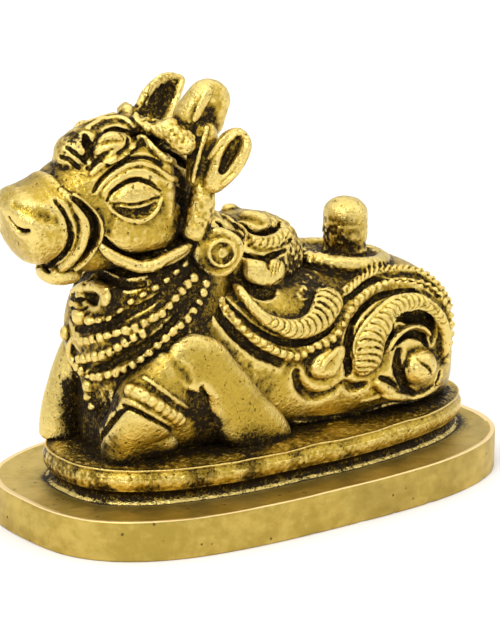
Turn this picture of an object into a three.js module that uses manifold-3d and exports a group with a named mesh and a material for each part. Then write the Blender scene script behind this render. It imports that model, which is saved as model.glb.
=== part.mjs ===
// A small cast brass bull with a hump, lying on a stepped oval plinth, with a
// round stone and its dish on its back. Everything is one casting.
//
// Millimetres, +Z up. The bull faces -X and its left side is -Y. The origin is
// at the middle of the flat underside.
//
// The bull is a free form: its carving is given in its own units, each a share
// of BULL_HEIGHT, with z counted from the top of the plinth. The plinth takes
// its plan from the bull's footprint and its own margins.

import * as THREE from "three";
import { mergeVertices } from "three/addons/utils/BufferGeometryUtils.js";
import loadManifold from "manifold-3d";

// Driving dimensions.
const BULL_HEIGHT = 51.6;
const SLAB_HEIGHT = 5.6;
const SLAB_LEDGE_ENDS = 3.5;
const SLAB_LEDGE_SIDES = 6.0;
const SLAB_EDGE_BEVEL = 0.3;
const SLAB_ROUNDNESS = 2.87;
const STEP_HEIGHT = 4.6;
const STEP_MARGIN_ENDS = 3.2;
const STEP_MARGIN_SIDES = 3.2;
const STEP_FOOT_INSET = 1.1;
const STEP_BULGE = 0.35;
const STEP_BULGE_AT = 0.6;
const STEP_RIM_DROP = 0.3;
const STEP_RIM_INSET = 0.45;
const STEP_ROUNDNESS = 2.6;
const HEAD_TURN_DEGREES = 5;
const STONE_DIAMETER = 6.3;
const STONE_HEIGHT = 7.0;
const STONE_DOME_SHARE = 0.8;
const DISH_DIAMETER = 14.8;
const DISH_THICKNESS = 1.7;
const BEAD_DIAMETER = 1.5;
const ROPE_DIAMETER = 1.7;
const EARRING_DIAMETER = 6.4;
const EARRING_THICKNESS = 2.2;

// The carving's numbers suit a bull of this height in its own units.
const UNITS_TALL = 51.6;
const UNIT = BULL_HEIGHT / UNITS_TALL;
const PLINTH_TOP = SLAB_HEIGHT + STEP_HEIGHT;

// How finely curves are cut into flats.
const OVAL_SIDES = 36;
const BODY_SIDES = 20;
const LIMB_SIDES = 8;
const BAND_SIDES = 5;
const RIDGE_SIDES = 4;

// A band laid on a surface reaches this angle below its middle line, and is
// lifted by this share of its relief.
const BEDDED_ANGLE = Math.PI / 7;
const BEDDED_LIFT = 0.1;
// Sections crowd towards a rounded end by this share, and stop just short of it.
const END_CROWDING = 0.5;
const SHORT_OF_END = 1e-3;
const SHORT_OF_POLE = 0.07;

const wasm = await loadManifold();
wasm.setup();
const { Manifold, Mesh: ManifoldMesh } = wasm;
const { Vector3, MathUtils } = THREE;

// Shared shape functions.

const signedPower = (value, power) => Math.sign(value) * Math.abs(value) ** power;

// A point at an angle on a superellipse: exponent 2 is an ellipse, more is squarer.
function ovalPoint(angle, halfWide, halfHigh, exponent) {
  return [
    halfWide * signedPower(Math.cos(angle), 2 / exponent),
    halfHigh * signedPower(Math.sin(angle), 2 / exponent),
  ];
}

// 1 in the middle of a length, falling to 0 over a rounded end of the given depth.
function roundedEnd(distanceToEnd, depth, exponent) {
  const reach = MathUtils.clamp(1 - distanceToEnd / depth, 0, 1);
  return (1 - reach ** exponent) ** (1 / exponent);
}

// Smooth values between the rows [position, value, value...] of a table.
function smoothTable(rows, position) {
  const last = rows.length - 1;
  const at = MathUtils.clamp(position, rows[0][0], rows[last][0]);
  let low = 0;
  while (low < last - 1 && at > rows[low + 1][0]) low += 1;
  const slope = (row, column) => {
    const before = rows[Math.max(row - 1, 0)];
    const after = rows[Math.min(row + 1, last)];
    return (after[column] - before[column]) / (after[0] - before[0]);
  };
  const [from, to] = [rows[low], rows[low + 1]];
  const span = to[0] - from[0];
  const t = (at - from[0]) / span;
  return from.slice(1).map((start, index) => {
    const end = to[index + 1];
    const [leave, arrive] = [slope(low, index + 1) * span, slope(low + 1, index + 1) * span];
    return start + t * leave + t * t * (3 * (end - start) - 2 * leave - arrive)
      + t * t * t * (2 * (start - end) + leave + arrive);
  });
}

// A closed solid through rings of equally many points, its two ends closed by fans.
function solidFromRings(rings) {
  const sides = rings[0].length;
  const centre = (ring) => ring.reduce((sum, point) => sum.add(point), new Vector3()).divideScalar(sides);
  const points = [...rings.flat(), centre(rings[0]), centre(rings.at(-1))];
  const [firstHub, lastHub] = [points.length - 2, points.length - 1];
  const lastRing = (rings.length - 1) * sides;
  const faces = [];
  for (let side = 0; side < sides; side += 1) {
    const next = (side + 1) % sides;
    faces.push(firstHub, next, side, lastHub, lastRing + side, lastRing + next);
    for (let start = 0; start < lastRing; start += sides) {
      faces.push(start + side, start + next, start + sides + next);
      faces.push(start + side, start + sides + next, start + sides + side);
    }
  }
  const geometry = new THREE.BufferGeometry();
  geometry.setAttribute("position", new THREE.Float32BufferAttribute(points.flatMap((p) => p.toArray()), 3));
  geometry.setIndex(faces);
  return toManifold(geometry);
}

// An indexed closed geometry as a solid with its faces outwards.
function solidOf(geometry) {
  const vertProperties = new Float32Array(geometry.attributes.position.array);
  const triVerts = new Uint32Array(geometry.index.array);
  const signedVolume = triVerts.reduce((sum, _, i) => {
    if (i % 3) return sum;
    const corner = (offset) => new Vector3().fromArray(vertProperties, 3 * triVerts[i + offset]);
    return sum + corner(0).dot(corner(1).cross(corner(2)));
  }, 0);
  if (signedVolume < 0) triVerts.reverse();
  return new Manifold(new ManifoldMesh({ numProp: 3, vertProperties, triVerts }));
}

// Any closed three.js geometry as a solid: its seams and poles are welded first.
function toManifold(geometry) {
  const bare = geometry.clone();
  bare.deleteAttribute("normal");
  bare.deleteAttribute("uv");
  return solidOf(mergeVertices(bare));
}

function toGeometry(solid) {
  const { vertProperties, triVerts } = solid.getMesh();
  const geometry = new THREE.BufferGeometry();
  geometry.setAttribute("position", new THREE.BufferAttribute(new Float32Array(vertProperties), 3));
  geometry.setIndex(new THREE.BufferAttribute(new Uint32Array(triVerts), 1));
  return geometry;
}

// The same solid moved, turned, scaled or mirrored by a matrix.
const placed = (solid, matrix) => solidOf(toGeometry(solid).applyMatrix4(matrix));

const joined = (solids) => solids.reduce((sum, solid) => sum.add(solid));

// A limb, rope or ridge: superellipse sections carried along a smooth path.
// Each row is [x, y, z, half-width, half-depth], and outward(point) gives the
// direction of the depth. The ends close over the given share of the length.
// A bedded section is only round where it stands out, and flat underneath.
function sweep(rows, { outward, steps, sides = LIMB_SIDES, exponent = 2, ends = 0.12, bedded = false }) {
  const [firstAngle, stepAngle] = bedded
    ? [-BEDDED_ANGLE, (Math.PI + 2 * BEDDED_ANGLE) / (sides - 1)]
    : [0, (2 * Math.PI) / sides];
  const path = new THREE.CatmullRomCurve3(rows.map((row) => new Vector3(...row)), false, "centripetal");
  const sizes = rows.map((row, index) => [index / (rows.length - 1), row[3], row[4]]);
  const rings = [];
  for (let step = 0; step <= steps; step += 1) {
    const share = (1 - Math.cos((Math.PI * step) / steps)) / 2;
    const crowded = MathUtils.lerp(step / steps, share, END_CROWDING);
    const at = MathUtils.clamp(crowded, SHORT_OF_END, 1 - SHORT_OF_END);
    const point = path.getPoint(at);
    const along = path.getTangent(at);
    const away = outward(point).projectOnPlane(along).normalize();
    const across = new Vector3().crossVectors(away, along);
    const [wide, deep] = smoothTable(sizes, at);
    const closing = roundedEnd(Math.min(at, 1 - at), ends, 2);
    rings.push(Array.from({ length: sides }, (_, side) => {
      const [u, v] = ovalPoint(firstAngle + stepAngle * side, wide * closing, deep * closing, exponent);
      return point.clone().addScaledVector(across, u).addScaledVector(away, v);
    }));
  }
  return solidFromRings(rings);
}

// A rounded lump: an ellipsoid at [x, y, z] with the given half-sizes.
function lump(centre, halfSizes, { sides = LIMB_SIDES, turn = [0, 0, 0] } = {}) {
  const ball = new THREE.SphereGeometry(1, sides, Math.ceil(sides / 2));
  ball.rotateX(Math.PI / 2);
  ball.scale(...halfSizes);
  ball.rotateX(turn[0]).rotateY(turn[1]).rotateZ(turn[2]);
  ball.translate(...centre);
  return toManifold(ball);
}

// The same solid and its mirror image on the bull's other side.
const bothSides = (solid) => solid.add(placed(solid, new THREE.Matrix4().makeScale(1, -1, 1)));

// A flat-topped disc with rounded rims, its axis along Z.
function disc(radius, thickness, sides) {
  const rim = Math.min(thickness / 2, radius / 2);
  const rimSteps = 2;
  const profile = [new THREE.Vector2(0, -thickness / 2)];
  for (let step = 0; step <= rimSteps; step += 1) {
    const angle = -Math.PI / 2 + (Math.PI * step) / rimSteps;
    profile.push(new THREE.Vector2(radius - rim + rim * Math.cos(angle), (thickness / 2) * Math.sin(angle)));
  }
  profile.push(new THREE.Vector2(0, thickness / 2));
  return new THREE.LatheGeometry(profile, sides).rotateX(Math.PI / 2);
}

// Body: sections across X between the chest and the rump.
// Rows are [x, half-width, height of the back].
const BODY_ROWS = [
  [-26, 9.0, 18.4],
  [-16, 10.6, 22.4],
  [-8, 11.3, 23.2],
  [0, 11.4, 22.2],
  [8, 11.8, 21.4],
  [16, 12.6, 21.0],
  [24, 12.4, 20.8],
  [31.3, 12.0, 20.6],
];
const BODY_SINK = 1.7;
const BODY_SQUARENESS = 2.8;
const BODY_CHEST_DEPTH = 8;
const BODY_RUMP_DEPTH = 13;
const BODY_END_ROUNDNESS = 3;
const BODY_FRONT = BODY_ROWS[0][0];
const BODY_BACK = BODY_ROWS.at(-1)[0];

function bodySection(x) {
  const [halfWidth, top] = smoothTable(BODY_ROWS, x);
  const closing = roundedEnd(x - BODY_FRONT, BODY_CHEST_DEPTH, BODY_END_ROUNDNESS)
    * roundedEnd(BODY_BACK - x, BODY_RUMP_DEPTH, BODY_END_ROUNDNESS);
  const halfHeight = ((top + BODY_SINK) / 2) * closing;
  return { halfWidth: halfWidth * closing, halfHeight, middle: halfHeight - BODY_SINK };
}

function makeBody() {
  const steps = 14;
  const rings = [];
  for (let step = 0; step <= steps; step += 1) {
    const share = (1 - Math.cos(MathUtils.lerp(SHORT_OF_POLE, Math.PI - SHORT_OF_POLE, step / steps))) / 2;
    const x = MathUtils.lerp(BODY_FRONT, BODY_BACK, share);
    const { halfWidth, halfHeight, middle } = bodySection(x);
    rings.push(Array.from({ length: BODY_SIDES }, (_, side) => {
      const [y, z] = ovalPoint((2 * Math.PI * side) / BODY_SIDES, halfWidth, halfHeight, BODY_SQUARENESS);
      return new Vector3(x, y, middle + z);
    }));
  }
  return solidFromRings(rings);
}

// A point of the near flank at a place in side view, raised off it by a height.
function onFlank(x, z, raised = 0) {
  const { halfWidth, halfHeight, middle } = bodySection(x);
  const climb = Math.min(Math.abs((z - middle) / halfHeight), 0.999);
  const y = halfWidth * (1 - climb ** BODY_SQUARENESS) ** (1 / BODY_SQUARENESS);
  return new Vector3(x, -y, z).addScaledVector(flankNormal(x, -y, z), raised);
}

// How far behind a place the flank's taper is taken.
const TAPER_LENGTH = 0.5;

function flankNormal(x, y, z) {
  const { halfWidth, halfHeight, middle } = bodySection(x);
  const [across, up] = [y / halfWidth, (z - middle) / halfHeight];
  const taper = (bodySection(x + TAPER_LENGTH).halfWidth - halfWidth) / TAPER_LENGTH;
  return new Vector3(
    -taper * Math.abs(across),
    signedPower(across, BODY_SQUARENESS - 1),
    (signedPower(up, BODY_SQUARENESS - 1) * halfWidth) / halfHeight,
  ).normalize();
}

// A band laid on the near flank along rows of [x, z, half-width], in relief.
function flankBand(rows, relief, options) {
  const lifted = rows.map(([x, z, halfWidth]) => (
    [...onFlank(x, z, relief * BEDDED_LIFT).toArray(), halfWidth, relief]
  ));
  const outward = (p) => flankNormal(p.x, p.y, p.z);
  return sweep(lifted, { outward, sides: BAND_SIDES, bedded: true, ...options });
}

// Neck and chest: sections across Z. Rows are [z, middle x, half-length, half-width].
const NECK_ROWS = [
  [-1, -16, 9.0, 8.0],
  [8, -16.5, 10.0, 9.0],
  [15, -16.5, 11.2, 9.6],
  [21, -16.5, 10.8, 9.2],
  [27, -16, 8.6, 8.2],
  [36, -16, 6.5, 6.0],
];
const NECK_SQUARENESS = 2.3;

function makeNeck() {
  const steps = 7;
  const rings = [];
  for (let step = 0; step <= steps; step += 1) {
    const z = MathUtils.lerp(NECK_ROWS[0][0], NECK_ROWS.at(-1)[0], step / steps);
    const [middle, halfLength, halfWidth] = smoothTable(NECK_ROWS, z);
    rings.push(Array.from({ length: BODY_SIDES }, (_, side) => {
      const [x, y] = ovalPoint((2 * Math.PI * side) / BODY_SIDES, halfLength, halfWidth, NECK_SQUARENESS);
      return new Vector3(middle + x, y, z);
    }));
  }
  return solidFromRings(rings);
}

function neckNormal(point) {
  const [middle, halfLength, halfWidth] = smoothTable(NECK_ROWS, point.z);
  return new Vector3((point.x - middle) / halfLength ** 2, point.y / halfWidth ** 2, 0).normalize();
}

// A string hung round the neck: rows of [degrees from the chest, z] on the near
// side, mirrored to the far side, in one closed band at the front.
function neckString(rows, halfWidth, relief, options) {
  const onNeck = ([degrees, z]) => {
    const [middle, halfLength, neckWidth] = smoothTable(NECK_ROWS, z);
    const angle = Math.PI + MathUtils.degToRad(degrees);
    const [x, y] = ovalPoint(angle, halfLength, neckWidth, NECK_SQUARENESS);
    return [middle + x, y, z, halfWidth, relief];
  };
  const near = rows.map(onNeck);
  const far = near.slice(1).map(([x, y, ...rest]) => [x, -y, ...rest]);
  return sweep([...far.reverse(), ...near], {
    outward: neckNormal, sides: RIDGE_SIDES, bedded: true, ends: 0.02, ...options,
  });
}

// Head: sections across X from the snout to the back of the skull.
// Rows are [x, half-width, lowest, highest].
const HEAD_ROWS = [
  [-39.9, 4.4, 33.6, 38.6],
  [-38.2, 5.2, 30.4, 38.3],
  [-35.6, 5.8, 27.2, 38.8],
  [-33.8, 5.2, 26.6, 38.9],
  [-32.4, 5.9, 25.4, 40.4],
  [-31.0, 5.9, 25.0, 40.8],
  [-30.2, 5.3, 25.6, 41.0],
  [-28.8, 6.2, 24.6, 42.2],
  [-25, 7.0, 24.4, 43.2],
  [-20, 7.6, 24.4, 44.0],
  [-15, 7.3, 26.4, 43.4],
  [-10.5, 6.6, 29.0, 42.0],
];
const HEAD_SQUARENESS = 2.7;
const HEAD_END_ROUNDNESS = 2.4;
const SNOUT_DEPTH = 4.5;
const SKULL_DEPTH = 6;
const HEAD_PIVOT = new Vector3(-14, 0, 0);

function makeSkull() {
  const steps = 18;
  const [front, back] = [HEAD_ROWS[0][0], HEAD_ROWS.at(-1)[0]];
  const sides = 14;
  const rings = [];
  for (let step = 0; step <= steps; step += 1) {
    const share = (1 - Math.cos(MathUtils.lerp(SHORT_OF_POLE, Math.PI - SHORT_OF_POLE, step / steps))) / 2;
    const x = MathUtils.lerp(front, back, MathUtils.lerp(step / steps, share, END_CROWDING));
    const [halfWidth, low, high] = smoothTable(HEAD_ROWS, x);
    const closing = roundedEnd(x - front, SNOUT_DEPTH, HEAD_END_ROUNDNESS)
      * roundedEnd(back - x, SKULL_DEPTH, HEAD_END_ROUNDNESS);
    rings.push(Array.from({ length: sides }, (_, side) => {
      const angle = (2 * Math.PI * side) / sides;
      const [y, z] = ovalPoint(angle, halfWidth * closing, ((high - low) / 2) * closing, HEAD_SQUARENESS);
      return new Vector3(x, y, (high + low) / 2 + z);
    }));
  }
  return solidFromRings(rings);
}

// Ridges on the near side of the face, as rows of [x, y, z, half-width, half-depth].
const BROW = [
  [-29.3, -4.6, 40.0, 0.7, 0.6],
  [-26.8, -5.2, 41.2, 0.9, 0.8],
  [-22.5, -5.6, 42.2, 1.0, 0.9],
  [-19.0, -6.6, 41.2, 0.9, 0.9],
  [-16.2, -7.2, 39.4, 0.8, 0.7],
];
const UPPER_LID = [
  [-29.4, -5.8, 37.4, 0.6, 0.6],
  [-27.6, -6.2, 38.8, 0.8, 0.8],
  [-24.0, -6.9, 39.7, 0.9, 0.9],
  [-20.3, -7.4, 39.0, 0.9, 0.9],
  [-17.6, -7.5, 37.4, 0.6, 0.6],
];
const JAW = [
  [-28.6, -6.2, 30.4, 0.7, 0.6],
  [-25.6, -6.7, 28.2, 0.9, 0.8],
  [-21.6, -6.8, 26.9, 1.0, 0.9],
  [-17.8, -6.8, 27.8, 0.9, 0.8],
  [-15.6, -6.8, 30.0, 0.7, 0.6],
];
const EYEBALL = { centre: [-23.6, -6.5, 35.9], half: [3.6, 1.5, 2.1] };
const CHEEK = { centre: [-22.4, -5.9, 31.9], half: [4.3, 2.1, 3.4] };
const CHIN = { centre: [-31.6, 0, 26.2], half: [2.8, 3.6, 1.9] };
const NOSTRIL = { centre: [-39.4, -3.2, 34.2], half: [1.3, 0.9, 1.7] };

// Forehead: a thick leafy crest along the middle with a lobe on each side.
const CREST = [
  [-31.4, 0, 41.0, 2.2, 1.5],
  [-29.6, 0, 42.6, 2.8, 1.8],
  [-26.0, 0, 43.9, 2.6, 1.8],
  [-21.5, 0, 44.5, 2.4, 1.7],
  [-16.5, 0, 43.8, 2.6, 1.8],
];
const FOREHEAD_LOBE = [
  [-27.4, -2.9, 42.2, 1.5, 1.3],
  [-25.0, -3.4, 43.6, 2.2, 1.6],
  [-21.8, -3.6, 44.4, 1.6, 1.3],
];
const HAIR_ROLL = [
  [-18.8, -1.2, 45.6, 1.4, 1.4],
  [-16.2, -4.0, 44.6, 1.6, 1.6],
  [-13.6, -6.4, 42.2, 1.5, 1.5],
  [-12.6, -7.4, 39.8, 1.1, 1.1],
];
const CHEEK_STRAP = [
  [-13.8, -6.8, 40.0, 1.3, 1.0],
  [-14.6, -7.4, 35.4, 1.2, 1.0],
  [-14.2, -7.4, 31.4, 1.4, 1.1],
];
const NEAR_HORN = [
  [-13.2, -3.6, 42.0, 3.0, 2.3],
  [-12.6, -4.7, 45.2, 3.2, 2.2],
  [-11.2, -5.4, 48.2, 3.0, 1.9],
  [-9.2, -5.6, 50.6, 2.0, 1.3],
];
const FAR_HORN = [
  [-13.4, 3.6, 41.6, 3.0, 2.3],
  [-12.8, 4.7, 44.4, 3.2, 2.2],
  [-11.4, 5.4, 47.0, 3.0, 1.9],
  [-8.8, 5.6, 49.0, 2.2, 1.3],
];
const EAR = [
  [-13.8, -6.4, 36.6, 1.8, 1.1],
  [-12.4, -8.6, 38.6, 2.6, 1.2],
  [-10.9, -9.8, 41.8, 2.9, 1.1],
  [-9.7, -10.0, 44.8, 2.3, 1.0],
];
const EAR_HOLLOW = { centre: [-12.2, -10.7, 40.9], half: [1.7, 0.9, 3.0], turn: [0.1, 0.25, -0.45] };
const outFromHead = () => new Vector3(-0.45, -0.85, 0.15);

function makeHead() {
  const faceRidge = (rows) => sweep(rows, {
    outward: outFromHead, sides: RIDGE_SIDES, steps: 4, bedded: true,
  });
  const upright = () => new Vector3(0, 0, 1);
  const ear = sweep(EAR, { outward: outFromHead, steps: 5, sides: 7, ends: 0.25 });
  const near = joined([
    ...[BROW, UPPER_LID, JAW, CHEEK_STRAP, HAIR_ROLL].map(faceRidge),
    sweep(FOREHEAD_LOBE, { outward: upright, steps: 5, sides: 6, ends: 0.3, bedded: true }),
    lump(EYEBALL.centre, EYEBALL.half, { sides: 8 }),
    lump(CHEEK.centre, CHEEK.half, { sides: 8 }),
    ear.subtract(lump(EAR_HOLLOW.centre, EAR_HOLLOW.half, { sides: 7, turn: EAR_HOLLOW.turn })),
  ]);
  const horn = (rows) => sweep(rows, { outward: () => new Vector3(0, -1, 0), steps: 5, ends: 0.3 });
  const crest = sweep(CREST, { outward: upright, steps: 6, sides: BAND_SIDES, ends: 0.2, bedded: true });
  const nostril = lump(NOSTRIL.centre, NOSTRIL.half, { sides: 8 });
  const middle = [crest, lump(CHIN.centre, CHIN.half), horn(NEAR_HORN), horn(FAR_HORN)];
  const head = joined([makeSkull(), bothSides(near), ...middle]).subtract(bothSides(nostril));
  const turn = new THREE.Matrix4().makeTranslation(HEAD_PIVOT)
    .multiply(new THREE.Matrix4().makeRotationZ(MathUtils.degToRad(-HEAD_TURN_DEGREES)))
    .multiply(new THREE.Matrix4().makeTranslation(HEAD_PIVOT.clone().negate()));
  return placed(head, turn);
}

// Hump: a fat lobe over the shoulders with a leaf tongue down each side.
const HUMP = { centre: [-3.8, 0, 24.0], half: [9.2, 7.4, 6.4] };
const HUMP_BAND = [
  [-8.0, -6.4, 27.2, 0.8, 0.8],
  [-3.8, -7.2, 26.6, 0.9, 0.9],
  [0.6, -6.4, 26.2, 0.9, 0.9],
  [3.8, -3.8, 25.8, 0.9, 0.9],
  [5.0, 0, 25.8, 0.9, 0.9],
];
const HUMP_LEAF = [
  [-2.6, -7.0, 26.2, 3.0, 1.3],
  [-2.8, -8.2, 24.0, 2.6, 1.3],
  [-3.6, -9.2, 21.6, 1.3, 1.1],
];

function makeHump() {
  const sideways = () => new Vector3(0, -1, 0.4);
  const away = (point) => new Vector3(point.x - HUMP.centre[0], point.y, 0.2);
  const near = sweep(HUMP_BAND, { outward: away, sides: RIDGE_SIDES, steps: 7, bedded: true })
    .add(sweep(HUMP_LEAF, { outward: sideways, sides: 6, steps: 5, ends: 0.25, bedded: true }));
  return lump(HUMP.centre, HUMP.half, { sides: 10 }).add(bothSides(near));
}

// Forelegs: the near one folded with its hoof planted, the far one upright.
// Rows are [x, y, z, half-width, half-depth].
const NEAR_SHANK = [
  [-14.8, -7.6, 16.2, 3.2, 3.4],
  [-18.6, -8.4, 13.6, 3.9, 3.6],
  [-21.4, -8.0, 9.4, 3.7, 3.4],
  [-23.4, -6.6, 5.0, 4.6, 3.8],
  [-24.0, -5.8, -1.0, 5.4, 4.4],
];
const NEAR_FOREARM = [
  [-16.0, -7.8, 16.4, 3.0, 3.2],
  [-11.6, -8.4, 12.4, 4.6, 3.6],
  [-7.6, -8.4, 7.2, 6.2, 3.8],
  [-5.4, -7.8, -1.0, 6.8, 3.6],
];
const NEAR_ANKLET = { middle: [-22.4, -7.5, 8.0], along: [-0.62, 0.25, -1.0], half: [5.0, 4.2, 1.1] };
const FAR_SHANK = [
  [-20.0, 7.6, 16.6, 3.4, 3.4],
  [-22.8, 8.4, 12.6, 3.4, 3.0],
  [-24.4, 8.8, 7.4, 3.2, 2.8],
  [-25.0, 9.0, 2.6, 3.6, 3.0],
  [-25.0, 9.0, -1.0, 3.8, 3.2],
];
const FAR_FOREARM = NEAR_FOREARM.map(([x, y, ...rest]) => [x, -y, ...rest]);
const FAR_ANKLET = { middle: [-24.4, 8.7, 6.6], along: [-0.2, 0.1, -1.0], half: [3.8, 3.4, 0.8] };

function ringOn({ middle, along, half }) {
  const ring = new THREE.TorusGeometry(1 - half[2] / half[0], half[2] / half[0], RIDGE_SIDES, 12);
  ring.scale(half[0], half[1], half[0]);
  ring.applyQuaternion(new THREE.Quaternion().setFromUnitVectors(
    new Vector3(0, 0, 1),
    new Vector3(...along).normalize(),
  ));
  ring.translate(...middle);
  return toManifold(ring);
}

function makeForelegs() {
  const outNear = () => new Vector3(0, -1, 0);
  const outFar = () => new Vector3(0, 1, 0);
  return joined([
    sweep(NEAR_SHANK, { outward: outNear, steps: 5, exponent: 2.4, ends: 0.08 }),
    sweep(NEAR_FOREARM, { outward: outNear, steps: 5, exponent: 2.6, ends: 0.1 }),
    sweep(FAR_SHANK, { outward: outFar, steps: 5, exponent: 2.4, ends: 0.08 }),
    sweep(FAR_FOREARM, { outward: outFar, steps: 5, exponent: 2.6, ends: 0.1 }),
    ringOn(NEAR_ANKLET),
    ringOn(FAR_ANKLET),
  ]);
}

// Saddle-cloth carving on the flanks, as rows of [x, z, half-width] in side view.
const FRONT_CRESCENT = [
  [-9.2, 21.8, 0.5],
  [-7.6, 19.6, 0.9],
  [-5.2, 17.8, 1.2],
  [-2.2, 16.4, 1.6],
  [0.8, 15.8, 1.8],
  [3.4, 16.7, 2.1],
  [5.4, 18.4, 2.1],
  [6.0, 19.8, 1.2],
];
const BEADED_ROPE = [
  [-11.3, 21.6],
  [-11.2, 19.2],
  [-7.6, 15.2],
  [-3.0, 12.5],
  [-0.1, 11.8],
  [2.8, 12.5],
  [5.9, 14.0],
  [8.2, 16.2],
  [11.2, 18.0],
  [15.6, 18.9],
  [20.2, 18.6],
  [24.6, 16.4],
  [26.8, 12.6],
  [26.8, 8.2],
  [25.8, 5.0],
];
const TWISTED_ROPE = [
  [8.6, 18.9],
  [12.4, 19.8],
  [17.4, 20.3],
  [22.4, 19.6],
  [26.2, 17.4],
  [27.9, 14.0],
  [28.3, 9.4],
  [27.2, 4.6],
];
const REAR_CRESCENT = [
  [10.2, 7.2, 1.3],
  [10.7, 8.9, 2.1],
  [12.2, 12.6, 2.1],
  [14.7, 15.0, 1.8],
  [18.4, 16.0, 1.4],
  [21.9, 15.2, 1.3],
  [24.2, 13.0, 1.2],
  [25.2, 9.6, 1.0],
  [24.8, 6.6, 0.6],
];
const INNER_ARC = [
  [14.2, 10.2, 0.5],
  [15.6, 12.2, 0.6],
  [18.2, 13.0, 0.6],
  [20.6, 12.2, 0.6],
  [22.0, 10.4, 0.5],
];
const DROP = [
  [6.2, 12.0, 1.4],
  [5.0, 10.4, 2.3],
  [3.4, 8.4, 1.4],
];
const SMALL_LEAF = [
  [15.6, 6.0, 1.0],
  [14.2, 4.6, 1.5],
  [12.6, 3.8, 0.9],
];
const HIND_LEG = [
  [2.6, 3.6, 2.0],
  [9.0, 3.6, 2.8],
  [17.0, 3.9, 2.9],
  [24.0, 4.6, 2.4],
  [27.6, 6.0, 1.4],
];
const ROSETTE = { x: 20.2, z: 7.2, halfHeight: 2.9, relief: 1.5, lobes: 2, lobeHalfWidth: 2.1, spacing: 2.6 };
const CRESCENT_RELIEF = 1.3;
const INNER_ARC_RELIEF = 0.7;
const DROP_RELIEF = 1.4;
const SMALL_LEAF_RELIEF = 1.0;
const HIND_LEG_RELIEF = 1.0;

const withWidth = (rows, halfWidth) => rows.map(([x, z]) => [x, z, halfWidth]);

function makeFlank() {
  const bead = BEAD_DIAMETER / UNIT / 2;
  const rope = ROPE_DIAMETER / UNIT / 2;
  const rosetteAt = onFlank(ROSETTE.x, ROSETTE.z);
  const lobes = Array.from({ length: ROSETTE.lobes }, (_, index) => {
    const side = index - (ROSETTE.lobes - 1) / 2;
    const centre = rosetteAt.clone().add(new Vector3(side * ROSETTE.spacing, 0, 0));
    return lump(centre.toArray(), [ROSETTE.lobeHalfWidth, ROSETTE.relief, ROSETTE.halfHeight], { sides: 8 });
  });
  const bothFlanks = joined([
    flankBand(FRONT_CRESCENT, CRESCENT_RELIEF, { steps: 10, ends: 0.1 }),
    flankBand(REAR_CRESCENT, CRESCENT_RELIEF, { steps: 11, ends: 0.1 }),
    flankBand(withWidth(BEADED_ROPE, bead), bead, { steps: 14, sides: RIDGE_SIDES, ends: 0.02 }),
    flankBand(HIND_LEG, HIND_LEG_RELIEF, { steps: 5, ends: 0.2 }),
  ]);
  const nearFlankOnly = [
    flankBand(withWidth(TWISTED_ROPE, rope), rope, { steps: 9, sides: RIDGE_SIDES, ends: 0.04 }),
    flankBand(INNER_ARC, INNER_ARC_RELIEF, { steps: 5, sides: RIDGE_SIDES }),
    flankBand(DROP, DROP_RELIEF, { steps: 5, ends: 0.3 }),
    flankBand(SMALL_LEAF, SMALL_LEAF_RELIEF, { steps: 4, sides: RIDGE_SIDES, ends: 0.3 }),
    ...lobes,
  ];
  return joined([bothSides(bothFlanks), ...nearFlankOnly]);
}

// Strings and necklaces, as rows of [degrees from the chest, z].
const THROAT_STRING = [
  [0, 19.2],
  [24, 20.0],
  [40, 22.4],
  [62, 24.4],
  [85, 26.6],
];
const BROAD_NECKLACE = [
  [0, 14.4],
  [22, 16.2],
  [40, 17.8],
  [62, 19.6],
  [80, 22.6],
  [92, 25.6],
];
const LOW_STRING = [
  [0, 11.2],
  [24, 12.2],
  [44, 14.0],
  [68, 17.6],
  [86, 20.2],
  [98, 23.8],
];
const BROAD_NECKLACE_HALF_WIDTH = 1.8;
const BROAD_NECKLACE_RELIEF = 1.1;
const THROAT_SCROLL = { centre: [-27.6, -1.9, 22.6], half: [1.9, 2.0, 2.9] };
const PENDANTS = [
  { centre: [-27.4, -0.6, 9.8], half: [1.3, 1.6, 1.8] },
  { centre: [-26.6, -2.2, 7.4], half: [1.2, 1.4, 1.7] },
];

function makeNecklaces() {
  const bead = BEAD_DIAMETER / UNIT / 2;
  return joined([
    neckString(THROAT_STRING, bead, bead, { steps: 9 }),
    neckString(BROAD_NECKLACE, BROAD_NECKLACE_HALF_WIDTH, BROAD_NECKLACE_RELIEF, { steps: 10, exponent: 3 }),
    neckString(LOW_STRING, bead, bead, { steps: 9 }),
    bothSides(lump(THROAT_SCROLL.centre, THROAT_SCROLL.half)),
    ...PENDANTS.map(({ centre, half }) => lump(centre, half, { sides: 6 })),
  ]);
}

// Earrings: a thick round stud under each ear, turned a little to the front.
const EARRING_PLACE = [-12.4, -9.2, 27.6];
const EARRING_FACING = new Vector3(-0.4, -0.9, 0.1).normalize();

function makeEarrings() {
  const stud = disc(EARRING_DIAMETER / UNIT / 2, EARRING_THICKNESS / UNIT, 10);
  stud.applyQuaternion(new THREE.Quaternion().setFromUnitVectors(new Vector3(0, 0, 1), EARRING_FACING));
  stud.translate(...EARRING_PLACE);
  return bothSides(toManifold(stud));
}

// The round stone stands in its dish, and the dish is bedded in the back.
const STONE_X = 16.6;
const DISH_BED = 0.4;

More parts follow.
